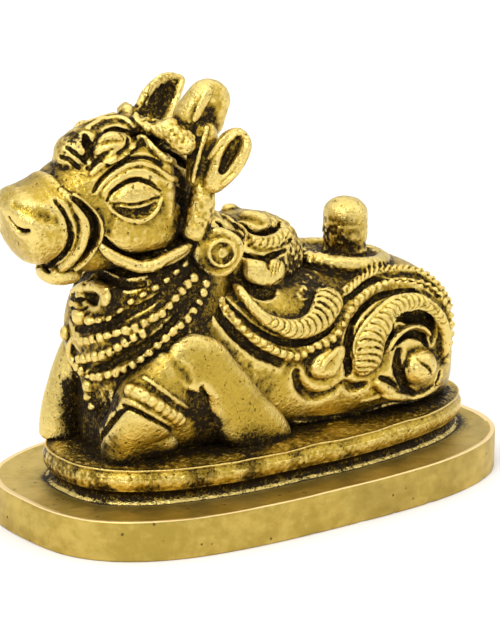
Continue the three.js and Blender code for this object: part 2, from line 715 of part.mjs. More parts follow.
function makeStoneAndDish() {
  const dishTop = bodySection(STONE_X).middle + bodySection(STONE_X).halfHeight
    + (DISH_THICKNESS / UNIT) - DISH_BED;
  const dish = disc(DISH_DIAMETER / UNIT / 2, DISH_THICKNESS / UNIT, 18);
  dish.translate(STONE_X, 0, dishTop - DISH_THICKNESS / UNIT / 2);
  const radius = STONE_DIAMETER / UNIT / 2;
  const height = STONE_HEIGHT / UNIT;
  const dome = radius * STONE_DOME_SHARE;
  const domeSteps = 4;
  const foot = -DISH_THICKNESS / UNIT;
  const profile = [new THREE.Vector2(0, foot), new THREE.Vector2(radius, foot)];
  for (let step = 0; step < domeSteps; step += 1) {
    const angle = (Math.PI / 2) * (step / domeSteps);
    profile.push(new THREE.Vector2(radius * Math.cos(angle), height - dome + dome * Math.sin(angle)));
  }
  profile.push(new THREE.Vector2(0, height));
  const stone = new THREE.LatheGeometry(profile, 10).rotateX(Math.PI / 2);
  stone.translate(STONE_X, 0, dishTop);
  return toManifold(dish).add(toManifold(stone));
}

// Plinth: two oval slabs, the lower one plain and the upper one with a rolled side.
// The bull's hooves reach this far forward, and its flanks this far to each side.
const FOOT_FRONT = -28.6;
const FOOT_HALF_WIDTH = 12.0;

// An oval slab from outlines of [half-length, half-width, height].
function ovalSlab(outlines, centreX, roundness) {
  const rings = outlines.map(([halfLength, halfWidth, z]) => (
    Array.from({ length: OVAL_SIDES }, (_, side) => {
      const [x, y] = ovalPoint((2 * Math.PI * side) / OVAL_SIDES, halfLength, halfWidth, roundness);
      return new Vector3(centreX + x, y, z);
    })
  ));
  return solidFromRings(rings);
}

function makePlinth() {
  const stepMiddle = ((FOOT_FRONT + BODY_BACK) / 2) * UNIT;
  const stepLength = ((BODY_BACK - FOOT_FRONT) / 2) * UNIT + STEP_MARGIN_ENDS;
  const stepWidth = FOOT_HALF_WIDTH * UNIT + STEP_MARGIN_SIDES;
  const stepAt = (out, z) => [stepLength + out, stepWidth + out, z];
  const step = ovalSlab([
    stepAt(-STEP_FOOT_INSET, SLAB_HEIGHT / 2),
    stepAt(-STEP_FOOT_INSET, SLAB_HEIGHT),
    stepAt(STEP_BULGE, SLAB_HEIGHT + STEP_HEIGHT * STEP_BULGE_AT),
    stepAt(0, PLINTH_TOP - STEP_RIM_DROP),
    stepAt(-STEP_RIM_INSET, PLINTH_TOP),
  ], stepMiddle, STEP_ROUNDNESS);
  const slabLength = stepLength + SLAB_LEDGE_ENDS + Math.abs(stepMiddle);
  const slabWidth = stepWidth + SLAB_LEDGE_SIDES;
  const slab = ovalSlab([
    [slabLength, slabWidth, 0],
    [slabLength, slabWidth, SLAB_HEIGHT - SLAB_EDGE_BEVEL],
    [slabLength - SLAB_EDGE_BEVEL, slabWidth - SLAB_EDGE_BEVEL, SLAB_HEIGHT],
  ], 0, SLAB_ROUNDNESS);
  return slab.add(step);
}

// The casting: the bull's own units become millimetres as it is set on the plinth.
const bull = joined([
  makeBody(),
  makeNeck(),
  makeHead(),
  makeHump(),
  makeForelegs(),
  makeFlank(),
  makeNecklaces(),
  makeEarrings(),
  makeStoneAndDish(),
]);
const ontoPlinth = new THREE.Matrix4().makeTranslation(0, 0, PLINTH_TOP)
  .multiply(new THREE.Matrix4().makeScale(UNIT, UNIT, UNIT));
const casting = makePlinth().add(placed(bull, ontoPlinth));

function toMesh(solid, name, material) {
  const geometry = toGeometry(solid);
  geometry.computeVertexNormals();
  const mesh = new THREE.Mesh(geometry, material);
  mesh.name = name;
  return mesh;
}

const agedBrass = new THREE.MeshStandardMaterial({ color: 0xb89a4a, roughness: 0.38, metalness: 1.0 });

const nandi = new THREE.Group();
nandi.name = "nandi_bull_figure";
nandi.add(toMesh(casting, "nandi_figure", agedBrass));

export default nandi;
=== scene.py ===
import itertools
import math

import bpy
import numpy as np
from mathutils import Matrix, Vector
from mathutils.bvhtree import BVHTree
from mathutils.kdtree import KDTree


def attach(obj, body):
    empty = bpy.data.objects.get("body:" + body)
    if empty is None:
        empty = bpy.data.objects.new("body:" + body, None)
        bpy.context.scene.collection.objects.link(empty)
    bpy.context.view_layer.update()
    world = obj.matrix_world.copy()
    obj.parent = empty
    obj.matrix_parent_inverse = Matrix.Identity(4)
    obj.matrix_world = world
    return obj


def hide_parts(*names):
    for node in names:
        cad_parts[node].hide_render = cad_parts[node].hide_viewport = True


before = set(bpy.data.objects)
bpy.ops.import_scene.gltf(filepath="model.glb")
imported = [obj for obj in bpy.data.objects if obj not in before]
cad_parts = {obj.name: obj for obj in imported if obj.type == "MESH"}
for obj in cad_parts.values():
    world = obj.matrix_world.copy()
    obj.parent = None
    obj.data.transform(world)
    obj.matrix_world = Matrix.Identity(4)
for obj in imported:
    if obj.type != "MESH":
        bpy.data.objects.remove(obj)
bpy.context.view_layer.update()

# Lower slab. The foot of the casting: a plain oval plate of brass with upright
# sides, filed to a satin finish after casting, with a thin burr along its top edge.
# Its profile is [inset, height over the table]; later heights start at PLINTH_TOP.
SLAB_TOP, PLINTH_TOP = 5.6, 10.2
SLAB_LONG, SLAB_WIDE, SLAB_SQUARE, SLAB_SIDES = 38.0, 21.2, 2.87, 900
SLAB_FOOT = [[21, 0], [8, 0], [1, 0], [0.25, 0.0], [0.06, 0.08], [0, 0.3]]
SLAB_BURR = [[0.0, 5.3], [0.03, 5.46], [0.12, 5.57], [0.28, 5.6], [0.5, 5.55], [0.8, 5.52]]
SLAB_MIDDLE = [[14, 5.4], [21, 5.4]]
SLAB_NICKS = [  # [degrees round the oval from +X, depth, half-width in mm]
    [-52.0, 0.28, 0.9], [-66.0, 0.20, 0.6], [-81.0, 0.16, 1.2], [-103.0, 0.14, 0.5], [-31.0, 0.14, 0.7],
]
FILED_BRASS, PALE_BRASS, OLD_BRASS = (0.46, 0.325, 0.06), (0.66, 0.48, 0.12), (0.27, 0.18, 0.035)
FILED_PIT, BURR_BRASS, RESIDUE = (0.06, 0.04, 0.015), (0.95, 0.74, 0.36), (0.03, 0.02, 0.008)
MM = 0.001  # in the scene's metres
TRIANGLE_LIMIT = 190_000  # what a denser piece is thinned to
NEAR_RISE, WIDE_RISE = 0.035, 0.16  # mm by which a small or a broad form stands out when fully rubbed


def signed_power(value, power):
    """A power that keeps the sign of what it is taken of."""
    return np.sign(value) * np.abs(value) ** power


def noise(points, size, seed=0):
    """Smooth noise between -1 and 1 with lumps of the given size: random values on a
    lattice, blended over each cell by 3t^2 - 2t^3 along each axis."""
    place = points / size + 31.7 * (seed + 1)
    cell = np.floor(place).astype(np.int64)
    part = place - cell
    part = part * part * (3 - 2 * part)
    total = np.zeros(len(points))
    for corner in itertools.product((0, 1), repeat=3):
        at = cell + corner
        # large odd numbers scatter the keys of neighbouring cells
        key = (at[:, 0] * 73856093) ^ (at[:, 1] * 19349663) ^ (at[:, 2] * 83492791) ^ (seed * 2654435)
        key = (key ^ (key >> 13)) * 1274126177 & 0x7FFFFFFF
        key = (key ^ (key >> 11)) * 1103515245 & 0x7FFFFFFF
        value = ((key >> 8) & 0xFFFF) / 32767.5 - 1
        total += value * np.where(corner, part, 1 - part).prod(axis=1)
    return total


def shell(rings):
    """Triangles of a closed surface through rings (rows, sides, 3), its two ends closed by fans."""
    rows, sides, _ = rings.shape
    points = np.concatenate([rings.reshape(-1, 3), rings[:1].mean(axis=1), rings[-1:].mean(axis=1)])
    side = np.arange(sides)
    after = (side + 1) % sides
    start = (np.arange(rows - 1) * sides)[:, None]
    a, b, c, d = start + side, start + after, start + sides + after, start + sides + side
    walls = np.concatenate([np.stack([a, b, c], -1).reshape(-1, 3), np.stack([a, c, d], -1).reshape(-1, 3)])
    first, last = rows * sides, rows * sides + 1
    foot = np.stack([np.full(sides, first), after, side], -1)
    head = np.stack([np.full(sides, last), start[-1] + sides + side, start[-1] + sides + after], -1)
    return points, np.concatenate([walls, foot, head])


def mesh_of(name, points, faces, scale=1.0, lift=0.0):
    """A mesh of triangles or quads, raised and then scaled."""
    mesh = bpy.data.meshes.new(name)
    places = ((points + [0, 0, lift]) * scale).astype(np.float32)
    corners = faces.shape[1]
    mesh.vertices.add(len(places))
    mesh.vertices.foreach_set("co", places.ravel())
    mesh.loops.add(faces.size)
    mesh.loops.foreach_set("vertex_index", faces.astype(np.int32).ravel())
    mesh.polygons.add(len(faces))
    mesh.polygons.foreach_set("loop_start", np.arange(len(faces), dtype=np.int32) * corners)
    mesh.update(calc_edges=True)
    return mesh


def face_normals(points, faces):
    """Area-weighted outward normals of triangles or quads."""
    a, b, c, d = (points[faces[:, i]] for i in (0, 1, 2, -1))
    return np.cross(c - a, d - b) if faces.shape[1] == 4 else np.cross(b - a, c - a)


def normals_of(points, faces):
    """Unit normals of the points, from the area-weighted ones of their faces."""
    flat = face_normals(points, faces)
    total = np.stack([np.bincount(faces.ravel(), np.repeat(flat[:, axis], faces.shape[1]), len(points))
                      for axis in range(3)], -1)
    return total / np.maximum(np.linalg.norm(total, axis=1, keepdims=True), 1e-12)


def relaxed(points, faces, rounds, share=0.5):
    """Each point moved towards the mean of its neighbours along the faces' edges."""
    ahead = np.roll(faces, -1, axis=1)
    one = np.concatenate([faces.ravel(), ahead.ravel()])
    other = np.concatenate([ahead.ravel(), faces.ravel()])
    count = np.maximum(np.bincount(one, minlength=len(points)), 1)[:, None]
    for _ in range(rounds):
        mean = np.stack([np.bincount(one, points[other, axis], len(points)) for axis in range(3)], -1) / count
        points = points + share * (mean - points)
    return points


def standing(points, faces, normals, rounds):
    """How far each point stands out of the skin that so many rounds of relaxing leave."""
    return ((points - relaxed(points, faces, rounds)) * normals).sum(axis=1)


def modified(points, faces, kind, corners, **settings):
    """Points and faces as a modifier leaves them, each face with so many corners."""
    form = bpy.data.objects.new("form", mesh_of("form", points, faces))
    bpy.context.scene.collection.objects.link(form)
    modifier = form.modifiers.new("change", kind)
    for key, value in settings.items():
        setattr(modifier, key, value)
    skin = form.evaluated_get(bpy.context.evaluated_depsgraph_get()).to_mesh()
    places = np.empty(len(skin.vertices) * 3, np.float32)
    skin.vertices.foreach_get("co", places)
    indices = np.empty(len(skin.loops), np.int32)
    skin.loops.foreach_get("vertex_index", indices)
    bpy.data.objects.remove(form)
    return places.reshape(-1, 3).astype(float), indices.reshape(-1, corners)


casting = []  # every piece with its points, faces and normals, for the shelter worked out at the end


def add_piece(name, points, faces, material, wear=None):
    """A finished piece of the casting, with how far each point stands out of its
    surroundings as its wear attribute: small forms and broad ones added up. A dense skin
    of quads is thinned to TRIANGLE_LIMIT, its flat places losing the most."""
    normals = normals_of(points, faces)
    if wear is None:
        near = np.clip(standing(points, faces, normals, 5) / NEAR_RISE, -1, 1)
        wide = np.clip(standing(points, faces, normals, 45) / WIDE_RISE, -1, 1)
        wear = near * 0.5 + wide * 0.7
    if faces.shape[1] == 4 and 2 * len(faces) > TRIANGLE_LIMIT:
        dense = KDTree(len(points))
        for index, point in enumerate(points.tolist()):
            dense.insert(point, index)
        dense.balance()
        ratio = TRIANGLE_LIMIT / (2 * len(faces))
        points, faces = modified(points, faces, "DECIMATE", 3, ratio=ratio, use_collapse_triangulate=True)
        same = np.array([dense.find(point)[1] for point in points.tolist()])
        wear, normals = wear[same], normals_of(points, faces)
    mesh = mesh_of(name, points, faces, MM, PLINTH_TOP)
    mesh.attributes.new("wear", "FLOAT", "POINT").data.foreach_set("value", wear.astype(np.float32))
    mesh.polygons.foreach_set("use_smooth", np.ones(len(faces), bool))
    mesh.materials.append(material)
    piece = bpy.data.objects.new(name, mesh)
    bpy.context.scene.collection.objects.link(piece)
    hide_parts("nandi_figure")
    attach(piece, "root")
    casting.append((piece, points, faces, normals))


def oval(angle, long, wide, square):
    """A superellipse: signed powers of cosine and sine, squarer as `square` rises over 2."""
    return long * signed_power(np.cos(angle), 2 / square), wide * signed_power(np.sin(angle), 2 / square)


def even_oval(count, long, wide, square):
    """Points round an oval at even distances, as angles of its formula."""
    dense = np.linspace(0, 2 * np.pi, 8001)
    x, y = oval(dense, long, wide, square)
    run = np.r_[0, np.cumsum(np.hypot(np.diff(x), np.diff(y)))]
    return np.interp(np.linspace(0, run[-1], count, endpoint=False), run, dense)


def oval_rings(profile, sides, long, wide, square):
    """Rings of one oval, drawn in and raised along a profile of [inset, height], and the
    directions outwards from its middle."""
    angle = even_oval(sides, long, wide, square)
    inset = profile[:, :1]
    x, y = oval(angle[None], long - inset, np.maximum(wide - inset, 0.2), square)
    rings = np.stack([x, y, np.broadcast_to(profile[:, 1:], x.shape)], -1)
    away = np.linalg.norm(rings[:, :, :2], axis=2, keepdims=True)
    return rings, rings[:, :, :2] / np.maximum(away, 1e-9)


def make_lower_slab():
    """Rings of the oval up its side and inwards over its top. The side and the burr waver
    by smooth noise, and nicks are cut into the foot."""
    wall = [[0, z] for z in np.linspace(0.5, 5.1, 24)]
    top = [[inset, 5.52 - 0.015 * inset] for inset in np.linspace(1.1, 9, 30)]
    profile = np.array(SLAB_FOOT + wall + SLAB_BURR + top + SLAB_MIDDLE)
    rings, around = oval_rings(profile, SLAB_SIDES, SLAB_LONG, SLAB_WIDE, SLAB_SQUARE)
    x, y, z = np.moveaxis(rings, -1, 0).copy()
    flat = rings.reshape(-1, 3)
    inset = profile[:, :1]
    side = inset < 0.9
    sway = (0.10 * noise(flat, 9.0, 3) + 0.03 * noise(flat, 2.2, 4)).reshape(x.shape) - 0.10
    degrees = np.degrees(np.arctan2(y, x))
    low = np.clip(1 - z / 0.9, 0, 1) * (inset < 0.5)
    for where, deep, half in SLAB_NICKS:
        away = np.abs(degrees - where) * np.pi / 180 * np.hypot(x, y) / half
        sway = sway - deep * np.clip(1 - away, 0, 1) * low
    burr = np.exp(-((z - 5.58) / 0.08) ** 2) * side
    wave = 0.05 * noise(flat, 2.6, 5).reshape(x.shape) * burr
    rings[:, :, :2] += around * (sway * side)[:, :, None]
    rings[:, :, 2] += wave
    rings[:, :, 2] -= PLINTH_TOP
    return shell(rings)


def node(tree, kind, inputs=None, **settings):
    made = tree.nodes.new(kind)
    for key, value in settings.items():
        setattr(made, key, value)
    for key, value in (inputs or {}).items():
        if isinstance(value, bpy.types.NodeSocket):
            tree.links.new(value, made.inputs[key])
        else:
            made.inputs[key].default_value = value
    return made


def maths(tree, operation, *values, clamp=False):
    made = node(tree, "ShaderNodeMath", dict(enumerate(values)), operation=operation, use_clamp=clamp)
    return made.outputs[0]


def mixed(tree, factor, low, high):
    """A colour from low to high as the factor goes from 0 to 1."""
    made = node(tree, "ShaderNodeMix", {"Factor": factor}, data_type="RGBA")
    for name, value in (("A", low), ("B", high)):
        target = next(s for s in made.inputs if s.name == name and s.type == "RGBA")
        if isinstance(value, bpy.types.NodeSocket):
            tree.links.new(value, target)
        else:
            target.default_value = (*value, 1)
    return next(s for s in made.outputs if s.type == "RGBA")


def smooth_step(tree, value, low, high):
    return node(tree, "ShaderNodeMapRange", {"Value": value, "From Min": low, "From Max": high},
                interpolation_type="SMOOTHSTEP").outputs[0]


def make_satin():
    """Filed brass: fine lengthwise lines, mottling of three sizes and a few dark pits, with
    a bright burr and dark residue against the upper slab."""
    material = bpy.data.materials.new("filed_brass")
    material.use_nodes = True
    tree = material.node_tree
    place = node(tree, "ShaderNodeTexCoord").outputs["Object"]
    shelter = node(tree, "ShaderNodeAttribute", attribute_name="shelter").outputs["Fac"]
    worn = node(tree, "ShaderNodeAttribute", attribute_name="wear").outputs["Fac"]

    def clouds(stretch, scale):
        mapped = node(tree, "ShaderNodeMapping", {"Vector": place, "Scale": stretch}).outputs[0]
        return node(tree, "ShaderNodeTexNoise", {
            "Vector": mapped, "Scale": scale, "Detail": 4.0, "Roughness": 0.65}).outputs["Fac"]

    def times(value, factor):
        return maths(tree, "MULTIPLY", value, factor)

    filed = clouds((0.2, 0.4, 2.4), 1500)
    small, mottle, blotch = clouds((1, 1, 1), 560), clouds((0.7, 0.7, 1), 150), clouds((0.5, 0.5, 1), 60)
    tone = smooth_step(tree, maths(tree, "ADD", times(mottle, 0.65), times(small, 0.35)), 0.38, 0.62)
    color = mixed(tree, tone, FILED_BRASS, PALE_BRASS)
    color = mixed(tree, times(smooth_step(tree, blotch, 0.5, 0.72), 0.6), color, OLD_BRASS)
    spots = node(tree, "ShaderNodeTexVoronoi", {"Vector": place, "Scale": 420.0}).outputs["Distance"]
    pit = smooth_step(tree, maths(tree, "ADD", spots, times(mottle, 0.2)), 0.215, 0.15)
    color = mixed(tree, times(pit, 0.8), color, FILED_PIT)
    ragged = times(maths(tree, "SUBTRACT", clouds((1, 1, 1), 2200), 0.5), 0.8)
    residue = smooth_step(tree, maths(tree, "ADD", shelter, ragged), 0.18, 0.62)
    color = mixed(tree, smooth_step(tree, worn, 0.1, 0.8), color, BURR_BRASS)
    color = mixed(tree, residue, color, RESIDUE)
    rough = maths(tree, "ADD", 0.36, times(filed, 0.2))
    rough = maths(tree, "ADD", rough, times(residue, 0.25), clamp=True)
    metal = maths(tree, "SUBTRACT", 1.0, times(residue, 0.7))
    height = maths(tree, "ADD", times(filed, 1.0), times(small, 0.35))
    height = maths(tree, "SUBTRACT", height, pit)
    bump = node(tree, "ShaderNodeBump", {"Height": height, "Strength": 0.55, "Distance": 0.00006})
    shader = tree.nodes["Principled BSDF"]
    for target, value in (("Base Color", color), ("Roughness", rough), ("Metallic", metal),
                          ("Normal", bump.outputs[0])):
        tree.links.new(value, shader.inputs[target])
    return material


slab_points, slab_faces = make_lower_slab()
top_edge = np.exp(-((slab_points[:, 2] + PLINTH_TOP - 5.56) / 0.09) ** 2)
on_rim = (np.abs(slab_points[:, 0] / SLAB_LONG) ** SLAB_SQUARE
          + np.abs(slab_points[:, 1] / SLAB_WIDE) ** SLAB_SQUARE)
add_piece("lower_slab", slab_points, slab_faces, make_satin(), wear=top_edge * (on_rim > 0.93))


# Upper slab. A smaller oval step of the same brass casting, left rough from the
# mould: a rolled side over a hollow foot, a thin wavy rim and a granular top. From
# here on the brass is bright where it stands out and dark with patina in hollows,
# with painted shade added on undersides and in patches.
STEP_MIDDLE, STEP_LONG, STEP_WIDE, STEP_SQUARE, STEP_SIDES = 1.35, 33.15, 15.2, 2.6, 760
STEP_FOOT, HOLLOW_HIGH, ROLL_HIGH = SLAB_TOP - PLINTH_TOP, 1.7, 2.5
STEP_RIM = [[0.12, -0.22], [0.06, -0.08], [0.12, 0.02], [0.24, 0.0], [0.42, -0.06], [0.7, -0.05]]
WARM_BRASS, OLIVE_BRASS, RUBBED_BRASS = (0.56, 0.38, 0.052), (0.235, 0.15, 0.017), (0.84, 0.64, 0.20)
# the black of the patina, which also paints shade on undersides and in patches
BLACK_PATINA_AND_SHADE, PIT_BROWN = (0.023, 0.014, 0.0045), (0.04, 0.025, 0.009)


def step_profile():
    """The step's profile [inset, height]: a hollow and a roll, each half a wave of a sine,
    then the rim, and a top that rises inwards by a fading exponential."""
    hollow = [[0.45 + 0.75 * math.sin(t * math.pi) - 0.3 * t, STEP_FOOT + HOLLOW_HIGH * t]
              for t in np.linspace(0.05, 0.95, 12)]
    roll = [[0.15 - 0.42 * math.sin(t * math.pi), STEP_FOOT + HOLLOW_HIGH + ROLL_HIGH * t]
            for t in np.linspace(0.0, 1.0, 22)]
    top = [[inset, 0.8 * (1 - math.exp(-(inset - 0.9) / 3.0))] for inset in np.linspace(0.95, 7, 34)]
    foot = [[15, STEP_FOOT - 1], [1.0, STEP_FOOT - 1], [0.35, STEP_FOOT - 0.5], [0.15, STEP_FOOT - 0.1]]
    return np.array(foot + hollow + roll + STEP_RIM + top + [[inset, 0.7] for inset in (8, 10, 13, 15)])


def make_upper_slab():
    """Rings of one oval along the step's profile, roughened by noise on their side and top."""
    profile = step_profile()
    rings, around = oval_rings(profile, STEP_SIDES, STEP_LONG, STEP_WIDE, STEP_SQUARE)
    z = rings[:, :, 2].copy()
    flat = rings.reshape(-1, 3)
    side = np.clip(1 - (profile[:, :1] - 0.5) / 0.6, 0, 1) * np.ones_like(z)
    wander = (0.22 * noise(flat, 6.0, 11) + 0.10 * noise(flat, 2.0, 12)).reshape(z.shape)
    grit = (0.045 * noise(flat, 0.75, 13) + 0.035 * noise(flat, 0.4, 14)).reshape(z.shape)
    rim_here = np.exp(-(z / 0.25) ** 2) * side
    sway = wander * side + grit * side * (1 - 0.8 * rim_here)
    rings[:, :, :2] += around * sway[:, :, None]
    rings[:, :, 2] += (0.16 * noise(flat, 5.0, 15)).reshape(z.shape) * (z > -1.0)
    rings[:, :, 2] += grit * 1.4 * (1 - side)
    rings[:, :, 0] += STEP_MIDDLE
    return shell(rings)


def socket(group, name, kind, way="INPUT", default=None):
    made = group.interface.new_socket(name=name, in_out=way, socket_type=kind)
    if default is not None:
        made.default_value = default
    return made


def make_patina():
    """Node group: from wear (high places positive, hollows negative) and the patina and
    painted shade (how enclosed a place is, with painted shade added on undersides and in
    patches) to the brass colour, its roughness, how metallic it is and its normal, bumped by the grain."""
    group = bpy.data.node_groups.new("brass_patina", "ShaderNodeTree")
    for name, default in (("Wear", 0.0), ("PatinaAndShade", 0.0), ("Grain", 1.0), ("Blotches", 0.4)):
        socket(group, name, "NodeSocketFloat", default=default)
    for name, kind in (("Color", "NodeSocketColor"), ("Roughness", "NodeSocketFloat"),
                       ("Metal", "NodeSocketFloat"), ("Normal", "NodeSocketVector")):
        socket(group, name, kind, "OUTPUT")
    enter = group.nodes.new("NodeGroupInput").outputs
    place = node(group, "ShaderNodeTexCoord").outputs["Object"]

    def speckle(scale):
        return maths(group, "SUBTRACT", node(group, "ShaderNodeTexNoise", {
            "Vector": place, "Scale": scale, "Detail": 2.0, "Roughness": 0.6}).outputs["Fac"], 0.5)

    def total(*parts):
        added = maths(group, "MULTIPLY", *parts[0])
        for part in parts[1:]:
            added = maths(group, "MULTIPLY_ADD", *part, added)
        return added

    fine, middle, coarse, broad = speckle(4200), speckle(1900), speckle(700), speckle(150)
    spread = total((fine, 0.9), (middle, 1.1), (coarse, 0.8))
    depth = total((enter["PatinaAndShade"], 1.0), (enter["Wear"], -0.32), (broad, enter["Blotches"]))
    deepest = maths(group, "MINIMUM", depth, 0.55)
    # dark: black patina in the hollows, and painted shade where undersides and patches add to the depth
    dark = smooth_step(group, total((deepest, 1.0), (spread, 1.0)), 0.18, 0.56)
    olive = smooth_step(group, total((depth, 1.0), (spread, 0.5)), -0.22, 0.3)
    bright = smooth_step(group, total((enter["Wear"], 1.0), (depth, -0.5), (spread, 0.5)), 0.15, 1.0)
    color = mixed(group, olive, WARM_BRASS, OLIVE_BRASS)
    color = mixed(group, bright, color, RUBBED_BRASS)
    color = mixed(group, dark, color, BLACK_PATINA_AND_SHADE)
    pit = smooth_step(group, total((coarse, 0.5), (middle, 1.0)), -0.17, -0.25)
    color = mixed(group, maths(group, "MULTIPLY", pit, 0.8), color, PIT_BROWN)
    rough = maths(group, "ADD", 0.29, maths(group, "MULTIPLY", dark, 0.32), clamp=True)
    metal = maths(group, "SUBTRACT", 1.0, maths(group, "MULTIPLY", dark, 0.15))
    height = total((fine, 0.5), (middle, 1.0), (coarse, 0.8), (pit, -0.5))
    bump = node(group, "ShaderNodeBump", {
        "Height": height, "Strength": enter["Grain"], "Distance": 0.00022}).outputs[0]
    leave = group.nodes.new("NodeGroupOutput").inputs
    for name, value in (("Color", color), ("Roughness", rough), ("Metal", metal), ("Normal", bump)):
        group.links.new(value, leave[name])
    return group


patina = make_patina()


def brass(name, grain=0.8, blotches=0.4):
    """Aged brass that reads the piece's own wear attribute and its attribute of patina and painted shade."""
    material = bpy.data.materials.new(name)
    material.use_nodes = True
    tree = material.node_tree
    worn = node(tree, "ShaderNodeAttribute", attribute_name="wear").outputs["Fac"]
    shelter = node(tree, "ShaderNodeAttribute", attribute_name="shelter").outputs["Fac"]
    look = node(tree, "ShaderNodeGroup", node_tree=patina)
    tree.links.new(worn, look.inputs["Wear"])
    tree.links.new(shelter, look.inputs["PatinaAndShade"])
    look.inputs["Grain"].default_value = grain
    look.inputs["Blotches"].default_value = blotches
    shader = tree.nodes["Principled BSDF"]
    for output, target in (("Color", "Base Color"), ("Roughness", "Roughness"), ("Metal", "Metallic"),
                           ("Normal", "Normal")):
        tree.links.new(look.outputs[output], shader.inputs[target])
    return material


add_piece("upper_slab", *make_upper_slab(), brass("slab_brass", 1.0, 1.1))


# Body. The long brass barrel of the bull with its rounded rump, cast hump and all in
# one with the slabs, and carved on its flanks with a saddle cloth of fluted
# crescents between beaded and twisted borders.
BODY = np.array([  # [x, half-width, height of the back]
    [-26, 9.0, 18.4], [-16, 10.6, 22.4], [-8, 11.3, 23.2], [0, 11.4, 22.2],
    [8, 11.8, 21.4], [16, 12.6, 21.0], [24, 12.4, 20.8], [31.3, 12.0, 20.6],
])
BODY_SINK, BODY_SQUARE = 1.7, 2.8
BODY_END, CHEST_DEPTH, RUMP_DEPTH = 3, 8, 13  # how square the ends are, and how far they reach in
VOXEL = 0.22  # mm, the size of the quads of a fused skin


def hermite(knots, values, at):
    """Cubic curve through the values at the knots, with central slopes, read at `at`."""
    knots, values = np.asarray(knots, float), np.asarray(values, float)
    at = np.clip(at, knots[0], knots[-1])
    slope = np.gradient(values, knots, axis=0)
    low = np.clip(np.searchsorted(knots, at, side="right") - 1, 0, len(knots) - 2)
    span = (knots[low + 1] - knots[low])[:, None]
    t = (at - knots[low])[:, None] / span
    start, end = values[low], values[low + 1]
    leave, arrive = slope[low] * span, slope[low + 1] * span
    return (start + t * leave + t**2 * (3 * (end - start) - 2 * leave - arrive)
            + t**3 * (2 * (start - end) + leave + arrive))


def joined(shells):
    """Several (points, faces) as one."""
    offsets = np.cumsum([0] + [len(points) for points, _ in shells[:-1]])
    return (np.concatenate([points for points, _ in shells]),
            np.concatenate([faces + offset for (_, faces), offset in zip(shells, offsets)]))


def steps(rows):
    """Distances from each point of a path to the next."""
    return np.linalg.norm(np.diff(rows[:, :3], axis=0), axis=1)


def along(rows, count, crowd=0.0):
    """Rows of numbers at even shares of the path through their first three columns;
    crowd draws them towards the two ends."""
    rows = np.asarray(rows, float)
    run = np.r_[0, np.cumsum(steps(rows))]
    t = np.linspace(0, 1, count)
    t = (1 - crowd) * t + crowd * (1 - np.cos(np.pi * t)) / 2
    return hermite(run / run[-1], rows, t)


def frames(path, outward):
    """The directions along a path, out of the surface and across, for each of its points."""
    ahead = np.gradient(path, axis=0)
    ahead /= np.linalg.norm(ahead, axis=1, keepdims=True)
    out = outward(path) if callable(outward) else np.broadcast_to(np.asarray(outward, float), path.shape)
    out = out - (out * ahead).sum(axis=1, keepdims=True) * ahead
    out /= np.linalg.norm(out, axis=1, keepdims=True)
    return ahead, out, np.cross(out, ahead)


def tube(rows, outward, ends=0.12, square=2.0, sides=28, pitch=0.35, ripple=None):
    """Oval sections [x, y, z, half-width, half-depth] along a path, closing over the share
    `ends` at each end; ripple(run, angle, share) scales the section."""
    rows = np.asarray(rows, float)
    path = along(rows, max(int(steps(rows).sum() / pitch), 12), 0.5)
    _, out, across = frames(path[:, :3], outward)
    run = np.r_[0, np.cumsum(steps(path))]
    share = run / run[-1]
    near_end = np.clip(1 - np.minimum(share, 1 - share) / max(ends, 1e-6), 0, 1)
    closing = np.sqrt(np.clip(1 - near_end**2, 1e-4, 1))
    angle = np.linspace(0, 2 * np.pi, sides, endpoint=False)
    wide, deep = oval(angle[None], path[:, 3:4] * closing[:, None], path[:, 4:5] * closing[:, None], square)
    if ripple is not None:
        factor = ripple(run[:, None], angle[None], share[:, None])
        wide, deep = wide * factor, deep * factor
    rings = path[:, None, :3] + wide[:, :, None] * across[:, None] + deep[:, :, None] * out[:, None]
    return shell(rings)


def turned(points, turn):
    """Points turned about X, then Y, then Z, in radians."""
    (cx, cy, cz), (sx, sy, sz) = np.cos(turn), np.sin(turn)
    about_x = np.array([[1, 0, 0], [0, cx, -sx], [0, sx, cx]])
    about_y = np.array([[cy, 0, sy], [0, 1, 0], [-sy, 0, cy]])
    about_z = np.array([[cz, -sz, 0], [sz, cz, 0], [0, 0, 1]])
    return points @ (about_z @ about_y @ about_x).T


def lump(centre, half, turn=(0, 0, 0), square=2.0, sides=30):
    """An ellipsoid, or with square over 2 a pillow, about a centre."""
    rise = np.linspace(-np.pi / 2 + 0.06, np.pi / 2 - 0.06, sides // 2)[:, None]
    angle = np.linspace(0, 2 * np.pi, sides, endpoint=False)[None]
    power = 2 / square
    flat = signed_power(np.cos(rise), power)
    x, y = flat * signed_power(np.cos(angle), power), flat * signed_power(np.sin(angle), power)
    z = np.broadcast_to(signed_power(np.sin(rise), power), (len(rise), sides))
    rings = np.stack([x, y, z], -1) * half
    return shell(turned(rings.reshape(-1, 3), turn).reshape(rings.shape) + centre)


def beads(rows, outward, pitch, half, square=2.6, waver=0.1):
    """Lumps [along, across, out] of half-size, in a row along a path at an even pitch."""
    rows = np.asarray(rows, float)
    path = along(rows, max(int(round(steps(rows).sum() / pitch)), 2))[:, :3]
    ahead, out, across = frames(path, outward)
    sway = 1 + waver * np.stack([noise(path, 1.1, seed) for seed in (21, 22, 23)], -1)
    made = []
    for place, axes, scale in zip(path, np.stack([ahead, across, out], 1), sway):
        points, faces = lump((0, 0, 0), np.asarray(half) * scale, square=square, sides=12)
        made.append((points @ axes + place, faces))
    return joined(made)


def rounding(distance, depth, power):
    """How far a form has opened at a distance from its end: a quarter of a superellipse,
    from 0 at the end to 1 at the depth."""
    return (1 - np.clip(1 - distance / depth, 0, 1) ** power) ** (1 / power)


